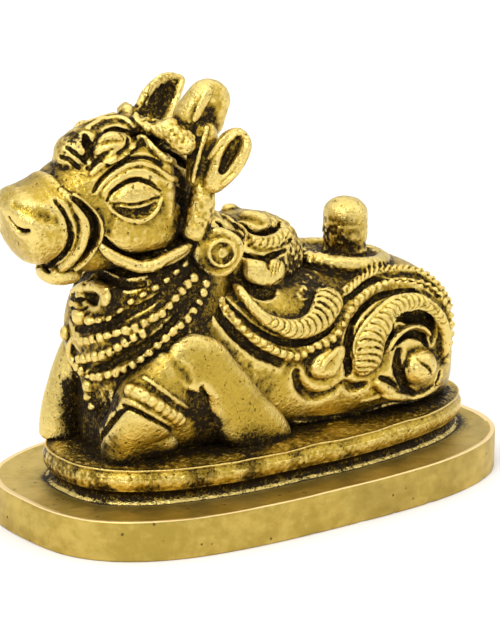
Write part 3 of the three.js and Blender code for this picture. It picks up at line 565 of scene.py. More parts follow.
def body_section(x):
    """Half-width, half-height and middle height of the barrel at x, closing at both ends."""
    x = np.ravel(x)
    half_width, top = hermite(BODY[:, 0], BODY[:, 1:], x).T
    closing = (rounding(x - BODY[0, 0], CHEST_DEPTH, BODY_END)
               * rounding(BODY[-1, 0] - x, RUMP_DEPTH, BODY_END))
    half_height = (top + BODY_SINK) / 2 * closing
    return half_width * closing, half_height, half_height - BODY_SINK


def flank_normal(points):
    """The gradient of the barrel's square ovals, tilted by how fast they widen along x."""
    half_width, half_height, middle = body_section(points[:, 0])
    ahead = 0.4
    taper = (body_section(points[:, 0] + ahead)[0] - half_width) / ahead
    across, up = points[:, 1] / half_width, (points[:, 2] - middle) / half_height
    normal = np.stack([-taper * np.abs(across), signed_power(across, BODY_SQUARE - 1),
                       signed_power(up, BODY_SQUARE - 1) * half_width / half_height], -1)
    return normal / np.linalg.norm(normal, axis=1, keepdims=True)


def on_flank(rows):
    """Rows [x, z, ...] in side view laid on the left flank as [x, y, z, ...]."""
    rows = np.asarray(rows, float)
    half_width, half_height, middle = body_section(rows[:, 0])
    climb = np.clip(np.abs((rows[:, 1] - middle) / half_height), 0, 0.999)
    y = -half_width * (1 - climb**BODY_SQUARE) ** (1 / BODY_SQUARE)
    return np.column_stack([rows[:, 0], y, rows[:, 1:]])


def flank_rows(rows, step=0.8):
    """A smooth path in side view, laid on the flank all along."""
    rows = np.asarray(rows, float)
    flat = np.column_stack([rows[:, 0], np.zeros(len(rows)), rows[:, 1:]])
    dense = along(flat, int(steps(flat).sum() / step) + 2)
    return on_flank(np.delete(dense, 1, axis=1))


def mirrored(form):
    """A form on the bull's other side, its faces turned the right way out again."""
    points, faces = form
    return points * [1, -1, 1], faces[:, ::-1]


def fused(shells, voxel=VOXEL):
    """Overlapping closed shells as one skin of small quads, its creases a little softened."""
    points, faces = modified(*joined(shells), "REMESH", 4, mode="VOXEL", voxel_size=voxel, adaptivity=0)
    return relaxed(points, faces, 2), faces


def carved(form, strokes):
    """Strokes cut into or raised from a skin. Each is (kind, rows) with rows
    [x, y, z, half-width, height]; a point moves along its normal by the height times a
    bell, vee, round or flat profile of its distance from the path over the half-width."""
    points, faces = form
    normals = relaxed(normals_of(points, faces), faces, 2)
    normals /= np.linalg.norm(normals, axis=1, keepdims=True)
    move = np.zeros(len(points))
    for kind, rows in strokes:
        rows = np.asarray(rows, float)
        path = along(rows, max(int(steps(rows).sum() / 0.15), 8))
        reach = path[:, 3].max() + 1.6
        low, high = path[:, :3].min(axis=0) - reach, path[:, :3].max(axis=0) + reach
        close = np.flatnonzero(((points > low) & (points < high)).all(axis=1))
        if not len(close):
            continue
        near = points[close]
        gap = ((path[:, None, :3] - near[None]) ** 2).sum(-1)
        path[:, :3] = near[gap.argmin(axis=1)]
        for _ in range(4):
            path[1:-1, :3] = (path[:-2, :3] + 2 * path[1:-1, :3] + path[2:, :3]) / 4
        gap = np.sqrt(((near[:, None] - path[None, :, :3]) ** 2).sum(-1))
        which = gap.argmin(axis=1)
        share = np.clip(gap[np.arange(len(near)), which] / path[which, 3], 0, 1)
        edge = np.clip((share - 0.55) / 0.45, 0, 1)
        shape = {"bell": (1 - share**2) ** 2, "vee": 1 - share, "round": np.sqrt(1 - share**2),
                 "flat": 1 - edge**2 * (3 - 2 * edge)}[kind]
        move[close] += path[which, 4] * shape
    return points + normals * move[:, None], faces


def roughened(form, patches=(), everywhere=0.035, hollows=0.15):
    """Cast grain: lumpy noise along the normals, stronger in the hollows, where nothing has
    rubbed it down, and in patches [x, y, z, reach, height]."""
    points, faces = form
    normals = normals_of(points, faces)
    sunk = -standing(points, faces, normals, 16)
    height = everywhere + hollows * np.clip(sunk / 0.1, 0, 1)
    for x, y, z, reach, extra in patches:
        far = np.linalg.norm(points - [x, y, z], axis=1) / reach
        height = np.maximum(height, extra * (1 - np.clip(far, 0, 1) ** 4))
    grain = 0.6 * noise(points, 0.85, 31) + 0.7 * noise(points, 0.46, 32)
    swell = 0.06 * noise(points, 3.5, 33)
    return points + normals * (grain * height + swell)[:, None], faces


def make_barrel():
    """Square ovals across the body, crowded towards its two ends by a cosine."""
    x = BODY[0, 0] + (BODY[-1, 0] - BODY[0, 0]) * (1 - np.cos(np.linspace(0.03, np.pi - 0.03, 130))) / 2
    half_width, half_height, middle = body_section(x)
    angle = np.linspace(0, 2 * np.pi, 110, endpoint=False)
    y, z = oval(angle[None], half_width[:, None], half_height[:, None], BODY_SQUARE)
    return shell(np.stack([np.broadcast_to(x[:, None], y.shape), y, middle[:, None] + z], -1))


def flutes(pitch, depth, bow=0.6):
    """Ripple of overlapping leaves: a rise and a sharp fall every pitch, bowed across the band."""
    def ripple(run, angle, share):
        phase = (run / pitch + bow * np.cos(angle) ** 2) % 1
        return 1 - depth * (1 - np.sin(np.pi * phase) ** 0.6)
    return ripple


# The carving follows the photograph. Its places are pixels across and down in the
# 500 x 625 frame, seen by a camera whose angles and distance are these, in mm.
PHOTO_WIDE, PHOTO_HIGH = 500, 625
AZIMUTH, ELEVATION, ROLL = math.radians(-37.56), math.radians(16.0), math.radians(0.55)
LOOK_ACROSS, LOOK_UP, DISTANCE, PIXELS_PER_MM = 0.114, 24.46, 478.8, 7.105
back = np.array([math.sin(AZIMUTH) * math.cos(ELEVATION), -math.cos(AZIMUTH) * math.cos(ELEVATION),
                 math.sin(ELEVATION)])
level = np.array([math.cos(AZIMUTH), math.sin(AZIMUTH), 0])
upright = np.cross(back, level)
right = level * math.cos(ROLL) + upright * math.sin(ROLL)
up = upright * math.cos(ROLL) - level * math.sin(ROLL)
EYE = back * DISTANCE + right * LOOK_ACROSS + up * LOOK_UP - [0, 0, PLINTH_TOP]


def seen(form, rows):
    """Rows [pixels across, pixels down, ...] as [x, y, z, ...], each where the line of
    sight through it meets the form, or else at the form's point nearest to that line."""
    points, faces = form
    skin = BVHTree.FromPolygons(points.tolist(), faces.tolist())
    placed = []
    for across, down, *rest in rows:
        line = (across - PHOTO_WIDE / 2) * right - (down - PHOTO_HIGH / 2) * up
        line -= PIXELS_PER_MM * DISTANCE * back
        line /= np.linalg.norm(line)
        met = skin.ray_cast(Vector(EYE), Vector(line))[0]
        if met is None:
            away = points - EYE
            met = points[np.linalg.norm(away - (away @ line)[:, None] * line, axis=1).argmin()]
        placed.append([*met, *rest])
    return np.array(placed)


def strokes_seen(form, strokes):
    """Strokes (kind, rows) placed on a form, all with one look at it."""
    lengths = np.cumsum([0] + [len(rows) for _, rows in strokes])
    placed = seen(form, [row for _, rows in strokes for row in rows])
    return [(kind, placed[first:last]) for (kind, _), first, last in zip(strokes, lengths, lengths[1:])]


def other_side(strokes):
    """Strokes of the left side, mirrored to the right."""
    return [(kind, rows * [1, -1, 1, 1, 1]) for kind, rows in strokes]


# Bands and strokes of the flank: pixels across and down, half-width, and for strokes the height.
FRONT_CRESCENT = [
    (231, 285.5, 0.6), (234, 289, 0.8), (243.4, 301.1, 0.75), (252.5, 311.3, 0.85), (264.3, 320.4, 0.97),
    (276.1, 325.2, 1.15), (287.9, 328.8, 1.4), (299.7, 328.2, 1.5), (310.4, 323.6, 1.75),
    (319.5, 315, 2.1), (325.9, 304.3, 2.3), (329.2, 295.2, 2.1), (330.5, 289, 1.2),
]
REAR_CRESCENT = [
    (362, 376, 1.5), (363, 368, 2.2), (366.4, 355.3, 2.5), (369.1, 340.4, 2.5), (375.9, 328.2, 2.15),
    (382.7, 320.1, 1.9), (392.2, 310.6, 1.65), (404.4, 303.8, 1.45), (418, 303, 1.3), (428.8, 309.2, 1.1),
    (437, 318.7, 1), (441, 332.3, 0.95), (441.7, 345.8, 0.9), (441, 358, 0.7),
]
BEADED_BORDER = [
    (217.7, 293.6), (220.4, 302.2), (225.2, 310.8), (231, 317), (238.6, 325.8), (246, 333.3), (259, 341),
    (273, 350), (284, 354), (301, 355), (309.5, 348.5), (317.6, 345), (326.4, 341.8), (335.2, 335),
    (339.3, 328), (343.3, 320), (348, 312), (354.2, 303.8), (362.3, 296.3), (371.8, 290.2), (382.7, 285.5),
    (393.5, 282.7), (404.4, 282), (415.3, 284), (426, 287.5), (435.6, 294.3), (443.8, 305), (447.8, 316),
    (448.5, 327), (447, 342), (444, 360),
]
TWISTED_BORDER = [
    (343, 294), (355.6, 283.4), (366.4, 276.6), (380, 271.9), (393.5, 270.5), (407, 270.5), (418, 273.2),
    (428.8, 280), (437, 288.5), (444, 299), (448, 311),
]
INNER_ARC = [
    (385, 353), (388, 346), (392.2, 339), (400.3, 331), (411.2, 326.2), (422, 328.2), (428.8, 336.3),
]
DROP = [
    (341, 343, 0.4), (337, 350, 1.0), (331, 357, 1.8), (325, 364, 2.4), (322, 371, 2.6), (321, 378, 1.9),
]
SMALL_LEAF = [(374, 380, 0.5), (381, 386, 0.85), (388, 390.5, 0.9), (396, 395, 0.75), (402, 398, 0.4)]
VOLUTE = [(418.6, 366)]
FLANK_STROKES = [
    # dark grounds between the bands
    ("flat", [(222, 292, 0.45, -0.6), (231, 307, 0.45, -0.7), (243, 318, 0.45, -0.7), (256, 330, 0.5, -0.7),
              (270, 338, 0.5, -0.7), (286, 343, 0.5, -0.7), (303, 343, 0.5, -0.7), (318, 337, 0.45, -0.7),
              (331, 327, 0.4, -0.6), (338, 314, 0.3, -0.4)]),
    ("bell", [(211, 298, 0.7, -0.6), (217, 313, 0.8, -0.8), (229, 329, 0.9, -0.9), (245, 344, 0.9, -0.9),
              (262, 356, 0.9, -0.8), (280, 363, 0.9, -0.6)]),
    ("bell", [(296, 374, 1, -0.6), (301, 388, 1.1, -1), (315, 397, 1.1, -1), (331, 393, 0.8, -0.7),
              (342, 384, 0.6, -0.5)]),
    ("bell", [(345, 383, 0.8, -0.6), (354, 388, 1.1, -1), (365, 386, 0.9, -0.7)]),
    ("flat", [(349, 374, 0.6, -0.8), (346.5, 355, 0.7, -1), (348, 340, 0.7, -1), (352.5, 325, 0.65, -0.9),
              (360, 313, 0.5, -0.7), (370, 303, 0.4, -0.5)]),
    ("vee", [(343, 301, 0.5, -0.6), (361, 288, 0.55, -0.8), (380, 279.5, 0.55, -0.8),
             (397.6, 277, 0.55, -0.8), (414, 278.5, 0.55, -0.8), (429, 286.5, 0.5, -0.7),
             (441, 298, 0.4, -0.5)]),
    ("vee", [(353, 321, 0.5, -0.5), (361, 310.6, 0.55, -0.7), (373, 300, 0.55, -0.7),
             (388, 293.5, 0.5, -0.7), (404.4, 291, 0.5, -0.7), (418, 292.5, 0.5, -0.7),
             (431.5, 300.5, 0.45, -0.6), (440, 312, 0.4, -0.4)]),
    ("flat", [(389, 337, 0.5, -0.8), (397.6, 322, 0.85, -1.7), (411.2, 316.5, 0.95, -1.9),
              (423.5, 318, 0.95, -1.9), (431, 327.5, 0.8, -1.6), (433, 341, 0.5, -0.9)]),
    ("flat", [(393.5, 348, 0.5, -0.9), (402, 339, 0.65, -1.3), (413.5, 335, 0.65, -1.3),
              (423, 338.5, 0.6, -1.2), (427, 345, 0.4, -0.8)]),
    ("bell", [(399, 352, 0.9, -0.8), (398, 368, 1, -1.1), (402, 383, 0.8, -0.9), (413, 394, 0.6, -0.6)]),
    ("bell", [(440, 372, 0.5, -0.4), (436, 384, 0.6, -0.6), (424, 395, 0.6, -0.6)]),
    # ridge of the drop, and the inner rim of the rear crescent
    ("round", [(338, 348, 0.3, 0.2), (331, 356, 0.35, 0.3), (325, 363, 0.35, 0.3), (322, 371, 0.3, 0.2)]),
    ("round", [(353, 352, 0.22, 0.25), (356, 338, 0.25, 0.4), (365, 324, 0.25, 0.4), (377, 311, 0.25, 0.4),
               (389, 301, 0.25, 0.4), (400, 296, 0.25, 0.35), (411, 294.5, 0.22, 0.2)]),
    # curled groove of the volute
    ("vee", [(417, 359, 0.3, -0.25), (424, 364, 0.35, -0.45), (430, 369, 0.35, -0.45),
             (432, 376, 0.3, -0.25)]),
    # hollow over the small leaf, and the ridge under the haunch
    ("bell", [(381, 378, 0.5, -0.6), (389, 381, 0.6, -0.8), (396, 386, 0.5, -0.6)]),
    ("round", [(362, 401.5, 0.4, 0.2), (393.5, 396.5, 0.5, 0.5), (413, 396.5, 0.5, 0.6),
               (430, 389, 0.5, 0.6), (438, 382, 0.4, 0.3)]),
    # dark groove at the foot of the flank
    ("bell", [(297, 420, 0.6, -0.7), (320, 419, 0.7, -0.9), (356, 413, 0.7, -0.9), (393, 402, 0.7, -0.9),
              (420, 398, 0.7, -0.9), (434, 388, 0.6, -0.7)]),
]


def band(rows, relief, ends=0.1, ripple=None, square=2.0):
    """A band in relief on the left flank from rows [x, z, half-width]."""
    placed = flank_rows(rows)
    placed = np.column_stack([placed, np.full(len(placed), relief)])
    return tube(placed, flank_normal, ends=ends, ripple=ripple, square=square)


def with_width(rows, half_width):
    """Rows with one more column, the same number all the way down."""
    return np.column_stack([np.asarray(rows, float), np.full(len(rows), half_width)])


def ribs(rows, outward, pitch, half_width, depth, bow=0.5, slant=0.0, lift=1.2):
    """Grooves across a band [x, y, z, half-width], one each pitch, bowed or slanted along it."""
    rows = np.asarray(rows, float)
    path = along(rows[:, :4], max(int(steps(rows).sum() / pitch), 2))
    share = np.linspace(-0.9, 0.9, 5)[:, None]
    made = []
    for place, ahead, out, side in zip(path, *frames(path[:, :3], outward)):
        bend = (bow * (1 - share**2) + slant * share) * ahead
        line = place[:3] + share * place[3] * side + bend + lift * out
        made.append(("vee", np.column_stack([line, np.full((5, 2), (half_width, -depth))])))
    return made


def flank_seen(form, rows):
    """Rows seen on the left flank, as [x, z, ...] in side view."""
    return np.delete(seen(form, rows), 1, axis=1)


def make_flank_ribs(barrel):
    """Bowed grooves across the two crescents, and slanted ones across the twisted border."""
    front = flank_rows(flank_seen(barrel, FRONT_CRESCENT[4:]))
    rear = flank_rows(flank_seen(barrel, REAR_CRESCENT[:11]))
    twisted = flank_rows(flank_seen(barrel, [(*row, 0.75) for row in TWISTED_BORDER]))
    return (ribs(front, flank_normal, 0.95, 0.27, 0.38)
            + ribs(rear, flank_normal, 0.88, 0.26, 0.32, bow=0.6)
            + ribs(twisted, flank_normal, 1.0, 0.3, 0.42, bow=0, slant=0.5, lift=0.9))


def make_flank_carving(barrel):
    """The saddle cloth's bands, beads, drop, small leaf and volute, as one form."""
    border = flank_rows(flank_seen(barrel, BEADED_BORDER))
    made = [
        band(flank_seen(barrel, FRONT_CRESCENT), 1.5, ripple=flutes(0.95, 0.08), square=2.5),
        band(flank_seen(barrel, REAR_CRESCENT), 1.5, ripple=flutes(0.95, 0.08), square=2.5),
        band(with_width(flank_seen(barrel, BEADED_BORDER), 0.8), 0.3, ends=0.01, square=3),
        beads(border + 0.4 * flank_normal(border), flank_normal, 1.25, (0.46, 0.62, 0.58)),
        band(with_width(flank_seen(barrel, TWISTED_BORDER), 0.75), 1.05, ends=0.03),
        band(with_width(flank_seen(barrel, INNER_ARC), 0.4), 1.0),
        band(flank_seen(barrel, DROP), 1.5, ends=0.2, square=2.6),
        band(flank_seen(barrel, SMALL_LEAF), 0.9),
        lump(seen(barrel, VOLUTE)[0], (2.9, 2.1, 2.6)),
    ]
    return joined(made)


# The hump over the shoulders, with an almond on its crown, a fluted band and a leaf below it.
HUMP_MIDDLE = np.array([-3.8, 0, 21.0])
HUMP_ALMOND = [
    (240, 217, 0.4), (248, 215.8, 0.85), (257, 217.5, 1), (264, 220.5, 0.8), (269.5, 222.5, 0.35),
]
HUMP_BAND = [
    (248.5, 237.5, 0.6), (257, 241.8, 0.95), (266, 242.5, 1), (277, 239.5, 1), (286, 234.5, 0.9),
    (290.5, 240, 0.6),
]
HUMP_LEAF = [
    (243, 259, 0.9), (252, 268, 1.9), (263, 273, 2.3), (274, 269.5, 2.1), (282, 262, 1.1),
]
HUMP_STROKES = [
    ("bell", [(242, 223.5, 0.5, -0.7), (250, 229, 0.7, -1.3), (259, 232, 0.75, -1.5),
              (268, 230.5, 0.75, -1.5), (277, 226.5, 0.7, -1.2), (281, 221, 0.5, -0.7)]),
    ("round", [(222, 214.5, 0.2, 0.3), (230, 221, 0.22, 0.5), (237.5, 226, 0.22, 0.5),
               (244, 229.5, 0.22, 0.5), (246.8, 233.6, 0.22, 0.5), (246, 238, 0.22, 0.5),
               (243.5, 240.5, 0.2, 0.3)]),
    ("bell", [(218, 222, 0.5, -0.5), (228, 230, 0.9, -0.9), (238, 236, 0.9, -0.9), (241, 243, 0.6, -0.6)]),
    ("bell", [(242, 253, 0.45, -0.6), (252, 257, 0.6, -1), (264, 258.5, 0.6, -1), (276, 254, 0.5, -0.8),
              (286, 250, 0.4, -0.5)]),
    ("vee", [(268.6, 262, 0.6, -0.6), (269, 268, 0.5, -0.4)]),
    ("vee", [(273.8, 263, 0.2, -0.2), (273, 270, 0.22, -0.35), (271.5, 277, 0.2, -0.2)]),
    ("vee", [(277, 261.5, 0.2, -0.2), (276.5, 268, 0.22, -0.35), (275, 275, 0.2, -0.2)]),
    ("vee", [(280.2, 260, 0.2, -0.2), (280, 266, 0.22, -0.35), (278.5, 272, 0.2, -0.2)]),
    ("bell", [(244, 284, 0.8, -0.5), (256, 292, 1.3, -0.9), (269, 292, 1.3, -0.9), (280, 283, 0.9, -0.6)]),
]


def hump_outward(points):
    """Directions out of the hump, which is a little lower than it is wide."""
    return (points - HUMP_MIDDLE) * [1, 1, 1.2]


def make_hump(barrel):
    """Two lumps over the shoulders, with the almond, the band and the leaf on each side."""
    crown = [lump((-2.5, 0, 23.6), (9.9, 7.6, 6.6)), lump((-9.5, 0, 26.2), (6.5, 6.0, 5.4))]
    ground = joined(crown + [barrel])
    near = [
        tube(with_width(seen(ground, HUMP_ALMOND), 0.8), hump_outward, ends=0.2),
        tube(with_width(seen(ground, HUMP_BAND), 0.85), hump_outward, ends=0.1, ripple=flutes(0.95, 0.25)),
        tube(with_width(seen(ground, HUMP_LEAF), 1.3), hump_outward, ends=0.25),
    ]
    return crown + near + [mirrored(form) for form in near]


# The round stone stands in an oval dish with a thick lip, both cast with the bull.
STONE_X, DISH_X, DISH_TOP, DISH_SLOPE, DISH_STRETCH = 16.6, 14.8, 21.4, -0.14, (1.05, 0.97)


def turning(profile, centre, sides=64, stretch=(1, 1)):
    """A profile [radius, height] turned about an upright axis."""
    profile = np.asarray(profile, float)
    angle = np.linspace(0, 2 * np.pi, sides, endpoint=False)[None]
    x = profile[:, :1] * np.cos(angle) * stretch[0]
    y = profile[:, :1] * np.sin(angle) * stretch[1]
    z = np.broadcast_to(profile[:, 1:], (len(profile), sides))
    return shell(np.stack([x, y, z], -1) + centre)


def make_stone_and_dish():
    """The dish and the stone, turned from profiles [radius, height over DISH_TOP], and the
    dish's turned-up front end."""
    dish = [[0.1, -3.4], [3.4, -3.2], [5.2, -2.8], [6.8, -2.1], [7.7, -1.2], [7.9, -0.2], [7.6, 0.6],
            [6.9, 1.0], [6.1, 0.85], [5.3, 0.2], [3.6, -0.1], [0.1, -0.1]]
    dome = [[3.15 * math.cos(a), 5.7 + 2.4 * math.sin(a)] for a in np.linspace(0.15, 1.5, 9)]
    stone = [[0.1, -1.5], [3.3, -1.5], [3.2, 0.4], [2.95, 1.4], [3.15, 2.8], [3.15, 5.2]] + dome
    bowl, faces = turning(dish, (DISH_X, 0, DISH_TOP), stretch=DISH_STRETCH)
    bowl[:, 2] += DISH_SLOPE * (bowl[:, 0] - DISH_X)
    spout = lump((8.2, -0.8, 22.6), (1.0, 2.2, 0.8), turn=(0, 0.35, 0))
    return [(bowl, faces), turning(stone, (STONE_X, 0, DISH_TOP)), spout]


BODY_ROUGH = [  # [x, y, z, reach, height]
    [3, -2, 24, 7, 0.3], [9, 0, 22.6, 7, 0.3], [4, -9, 19.6, 3.4, 0.2], [-9, 0, 30, 6, 0.12],
    [20, 0, 22, 6, 0.12], [17, -12, 8, 2.5, 0.14], [20.1, -12.6, 7, 2.8, 0.16], [-6, -11, 14, 6, 0.08],
]
barrel = make_barrel()
carving = make_flank_carving(barrel)
flanks = [carving, mirrored(carving)]
body = fused([barrel] + flanks + make_hump(barrel) + make_stone_and_dish())
near_strokes = strokes_seen(body, FLANK_STROKES + HUMP_STROKES) + make_flank_ribs(barrel)
near_strokes += ribs(seen(body, HUMP_BAND), lambda points: points - HUMP_MIDDLE, 0.95, 0.26, 0.36,
                     bow=0, slant=0.45, lift=0)
body = carved(body, near_strokes + other_side(near_strokes))
cast_brass = brass("cast_brass")
add_piece("body", *roughened(body, BODY_ROUGH), cast_brass)


# Neck and chest. A thick brass neck that widens into the chest, cast in one with the
# body, and hung with beaded strings and a broad necklace with pendants, in relief.
NECK = np.array([  # [z, middle x, half-length, half-width]
    [-1, -16, 9.0, 8.0], [8, -16.5, 10.0, 9.0], [15, -16.5, 11.2, 9.6], [21, -16.5, 10.8, 9.2],
    [25, -16.3, 9.4, 8.2], [28, -15.6, 7.4, 6.4], [31, -14.8, 5.6, 4.6], [35, -14, 4.6, 3.6],
    [37.2, -13.9, 3.2, 2.6], [38, -13.8, 0.6, 0.6],
])
NECK_SQUARE = 2.3


def neck_normal(points):
    """The level direction out of the neck's ovals."""
    middle, long, wide = hermite(NECK[:, 0], NECK[:, 1:], points[:, 2]).T
    normal = np.stack([(points[:, 0] - middle) / long**2, points[:, 1] / wide**2, np.zeros(len(points))], -1)
    return normal / np.linalg.norm(normal, axis=1, keepdims=True)


def on_neck(rows, count=90):
    """Rows [degrees from the chest, z] on the left of the neck, carried round to the right as well."""
    rows = np.asarray(rows, float)
    both = np.concatenate([rows[:0:-1] * [-1, 1], rows])
    run = np.r_[0, np.cumsum(np.hypot(*np.diff(both * [0.17, 1], axis=0).T))]
    degrees, z = hermite(run, both, np.linspace(0, run[-1], count)).T
    middle, long, wide = hermite(NECK[:, 0], NECK[:, 1:], z).T
    angle = np.pi + np.radians(degrees)
    x, y = oval(angle, long, wide, NECK_SQUARE)
    return np.stack([middle + x, y, z], -1)


def make_neck():
    """Level square ovals from a little below the plinth's top up into the head, where they close."""
    z = np.linspace(-1, 38, 100)
    middle, long, wide = hermite(NECK[:, 0], NECK[:, 1:], z).T
    angle = np.linspace(0, 2 * np.pi, 110, endpoint=False)
    x, y = oval(angle[None], long[:, None], wide[:, None], NECK_SQUARE)
    return shell(np.stack([middle[:, None] + x, y, np.broadcast_to(z[:, None], x.shape)], -1))


FAR_CHEST = lump((-23.0, 4.5, 15.5), (4.2, 5.0, 8.5))
THROAT_STRING = [[0, 19.2], [24, 20.0], [40, 22.4], [62, 24.4], [85, 26.6]]
LOW_STRING = [[0, 11.2], [24, 12.2], [44, 14.0], [68, 17.6], [86, 20.2], [98, 23.8]]
# Rows of beads, plate and rim of the broad necklace, scroll: pixels across and down, half-width.
UPPER_ROW = [(85, 341), (98, 337.5), (110, 334), (123, 330), (136, 326), (148, 319), (159, 313), (169, 304),
             (176, 294), (184, 285), (191, 277)]
LOWER_ROW = [(83, 359), (95, 357), (106, 354), (120, 346), (132, 338), (143, 333)]
NECKLACE_PLATE = [(82, 350, 1.2), (97, 347.5, 1.2), (110, 343.5, 1.1), (123, 337, 1.0), (136, 330, 0.9),
                  (150, 320, 0.6), (169, 304, 0.6), (184, 285, 0.6)]
NECKLACE_RIM = [(82, 337, 0.4), (74, 341, 0.5), (71, 349, 0.5), (73, 358, 0.5), (79, 367, 0.4)]
SCROLL = [(74, 292, 0.5), (83, 287.5, 0.75), (93, 285.5, 0.85), (102, 289, 0.9), (107.5, 295, 0.95),
          (106, 301, 0.9), (101.5, 304.5, 0.65)]
# Lobes under the scroll and pendants: pixels across and down, half-width, half-height.
LOBES = [(80, 296, 0.75, 0.5), (78, 304, 0.8, 0.5), (81, 316, 1.3, 1.2), (91, 320.5, 1.0, 0.7),
         (66, 333, 0.9, 1.0), (89, 386, 1.0, 0.9), (90, 396.5, 0.95, 0.7), (94.5, 406, 0.95, 0.6),
         (113, 396, 0.55, 1.2), (100, 378, 0.6, 0.6), (112, 374, 0.6, 0.6),
         (120, 369, 0.6, 0.65), (76, 375, 0.6, 0.6)]
NECK_STROKES = [
    # folds under the jaw
    ("round", [(81, 277, 0.25, 0.25), (92, 269, 0.28, 0.4), (105, 270, 0.28, 0.4), (117, 277, 0.28, 0.4),
               (130, 280, 0.28, 0.4), (147, 276, 0.25, 0.25)]),
    ("bell", [(84, 283, 0.6, -0.5), (97, 276, 0.8, -0.8), (112, 280, 0.8, -0.8), (127, 286, 0.7, -0.7),
              (144, 284, 0.6, -0.5)]),
    # hole of the scroll and the grooves between its teeth
    ("flat", [(86, 296, 0.6, -0.8), (90, 299, 0.9, -1.6), (95, 300, 0.9, -1.6), (97, 295, 0.5, -0.8)]),
    ("vee", [(73, 299, 0.3, -0.4), (80, 299.5, 0.35, -0.7), (86, 299, 0.3, -0.5)]),
    ("vee", [(72, 308, 0.3, -0.4), (80, 309, 0.35, -0.7), (87, 307, 0.3, -0.5)]),
    # dark hollows above and below the broad necklace
    ("bell", [(76, 329, 0.6, -0.4), (95, 328, 0.8, -0.6), (113, 322, 0.8, -0.6), (130, 313, 0.8, -0.5),
              (146, 305, 0.7, -0.5), (160, 296, 0.6, -0.4)]),
    ("bell", [(84, 374, 0.5, -0.4), (98, 369, 0.7, -0.6), (114, 362, 0.8, -0.6), (132, 352, 0.8, -0.6),
              (150, 343, 0.8, -0.6), (164, 331, 0.7, -0.5), (176, 316, 0.6, -0.4)]),
    # recess of the chest beside the far leg
    ("flat", [(63, 372, 0.9, -1.2), (62, 390, 1.2, -2), (62, 408, 1.2, -2), (62, 425, 1, -1.4)]),
    # hatching on the chest
    ("vee", [(104, 402, 0.2, -0.3), (98, 418, 0.25, -0.45), (93, 432, 0.2, -0.2)]),
    ("vee", [(111, 407, 0.2, -0.3), (105, 421, 0.25, -0.45), (99, 436, 0.2, -0.2)]),
    ("vee", [(84, 404, 0.2, -0.3), (82, 420, 0.25, -0.45), (80, 434, 0.2, -0.2)]),
    ("vee", [(92, 415, 0.2, -0.3), (89, 428, 0.25, -0.4), (86, 438, 0.2, -0.2)]),
]


def both_ways(path):
    """A row on the left of the chest, carried round to the right as its mirror image."""
    return np.concatenate([path[:0:-1] * [1, -1, 1], path]) if path[0, 1] < 0 else path


def make_necklaces(neck):
    """Strings of beads round the neck, rows of beads on a plate, its rim, the scroll and the lobes."""
    made = []
    for rows, pitch, half in ((THROAT_STRING, 1.75, (0.6, 0.42, 0.5)),
                              (LOW_STRING, 1.32, (0.52, 0.66, 0.66))):
        path = on_neck(rows)
        made.append(beads(path + 0.3 * neck_normal(path), neck_normal, pitch, half, square=3.5, waver=0.2))
    for rows in (UPPER_ROW, LOWER_ROW):
        path = along(seen(neck, rows), 60)
        both = both_ways(path + 0.45 * neck_normal(path))
        made.append(beads(both, neck_normal, 1.22, (0.5, 0.62, 0.62), square=4, waver=0.2))
    plate = tube(with_width(seen(neck, NECKLACE_PLATE), 0.45), neck_normal, ends=0.03, square=3.5)
    rim = tube(with_width(seen(neck, NECKLACE_RIM), 0.7), neck_normal, ends=0.1)
    scroll = tube(with_width(seen(neck, SCROLL), 0.85), neck_normal, ends=0.12, square=2.4)
    made += [plate, mirrored(plate), rim, scroll]
    for x, y, z, wide, high in seen(neck, LOBES):
        made.append(lump((x, y, z), (wide, wide, high), turn=(0, 0, -0.6), square=2.4, sides=18))
    return made


NECK_ROUGH = [  # [x, y, z, reach, height]
    [-24, -3, 7, 7, 0.2], [-20, -9, 18, 5, 0.16], [-20, -8, 14, 6, 0.14], [-26, -2, 15, 3.5, 0.14],
    [-26, 2, 20, 4, 0.12],
]
neck_form = joined([make_neck(), FAR_CHEST])
neck = fused([neck_form] + make_necklaces(neck_form))
neck = carved(neck, strokes_seen(neck, NECK_STROKES))
add_piece("neck", *roughened(neck, NECK_ROUGH), cast_brass)


# Forelegs, of the same brass and the same casting. The left one kneels, its knee and
# forearm one smooth block with the hoof planted forward, and wears a beaded anklet;
# the right one stands upright before a like block.
KNEE_BLOCK = [  # outline in side view, [x, z]
    (-22.7, 13.2), (-21.6, 15.4), (-20.0, 16.9), (-17.6, 17.7), (-15.6, 17.3), (-13.4, 16.3), (-11.0, 13.9),
    (-6.9, 9.3), (-4.2, 6.0), (-1.8, 3.3), (-0.5, 1.0), (-0.4, -1.2), (-9.4, -1.2), (-12.2, 1.2),
    (-14.6, 4.2), (-15.4, 7.4), (-17.6, 9.6), (-20.0, 10.6), (-21.9, 11.7),
]
BLOCK_MIDDLE, BLOCK_HALF_DEPTH, BLOCK_SQUARE = -7.6, 4.1, 4.5
NEAR_SHANK = [
    [-18.6, -7.4, 14.4, 3.4, 3.4], [-20.6, -7.6, 11.6, 4.4, 3.6], [-22.2, -7.5, 8.8, 5.0, 3.7],
    [-23.2, -6.8, 6.2, 5.0, 3.6], [-23.6, -5.6, 3.4, 4.8, 3.3], [-23.6, -4.6, -1.0, 4.4, 3.0],
]
HOOF = lump((-22.9, -5.6, 3.3), (5.6, 3.6, 3.4), turn=(0.35, 0.33, -0.1), square=2.7, sides=48)
FAR_SHANK = [
    [-18.6, 7.4, 16.6, 3.4, 3.4], [-21.8, 8.2, 12.6, 3.3, 3.0], [-24.2, 8.8, 7.4, 3.2, 2.8],
    [-25.0, 9.0, 2.6, 3.6, 3.0], [-25.0, 9.0, -1.0, 3.8, 3.2],
]
ANKLET = [(128, 388), (140, 393.5), (153, 401.5), (166, 410.5), (179, 419.5), (190, 428)]
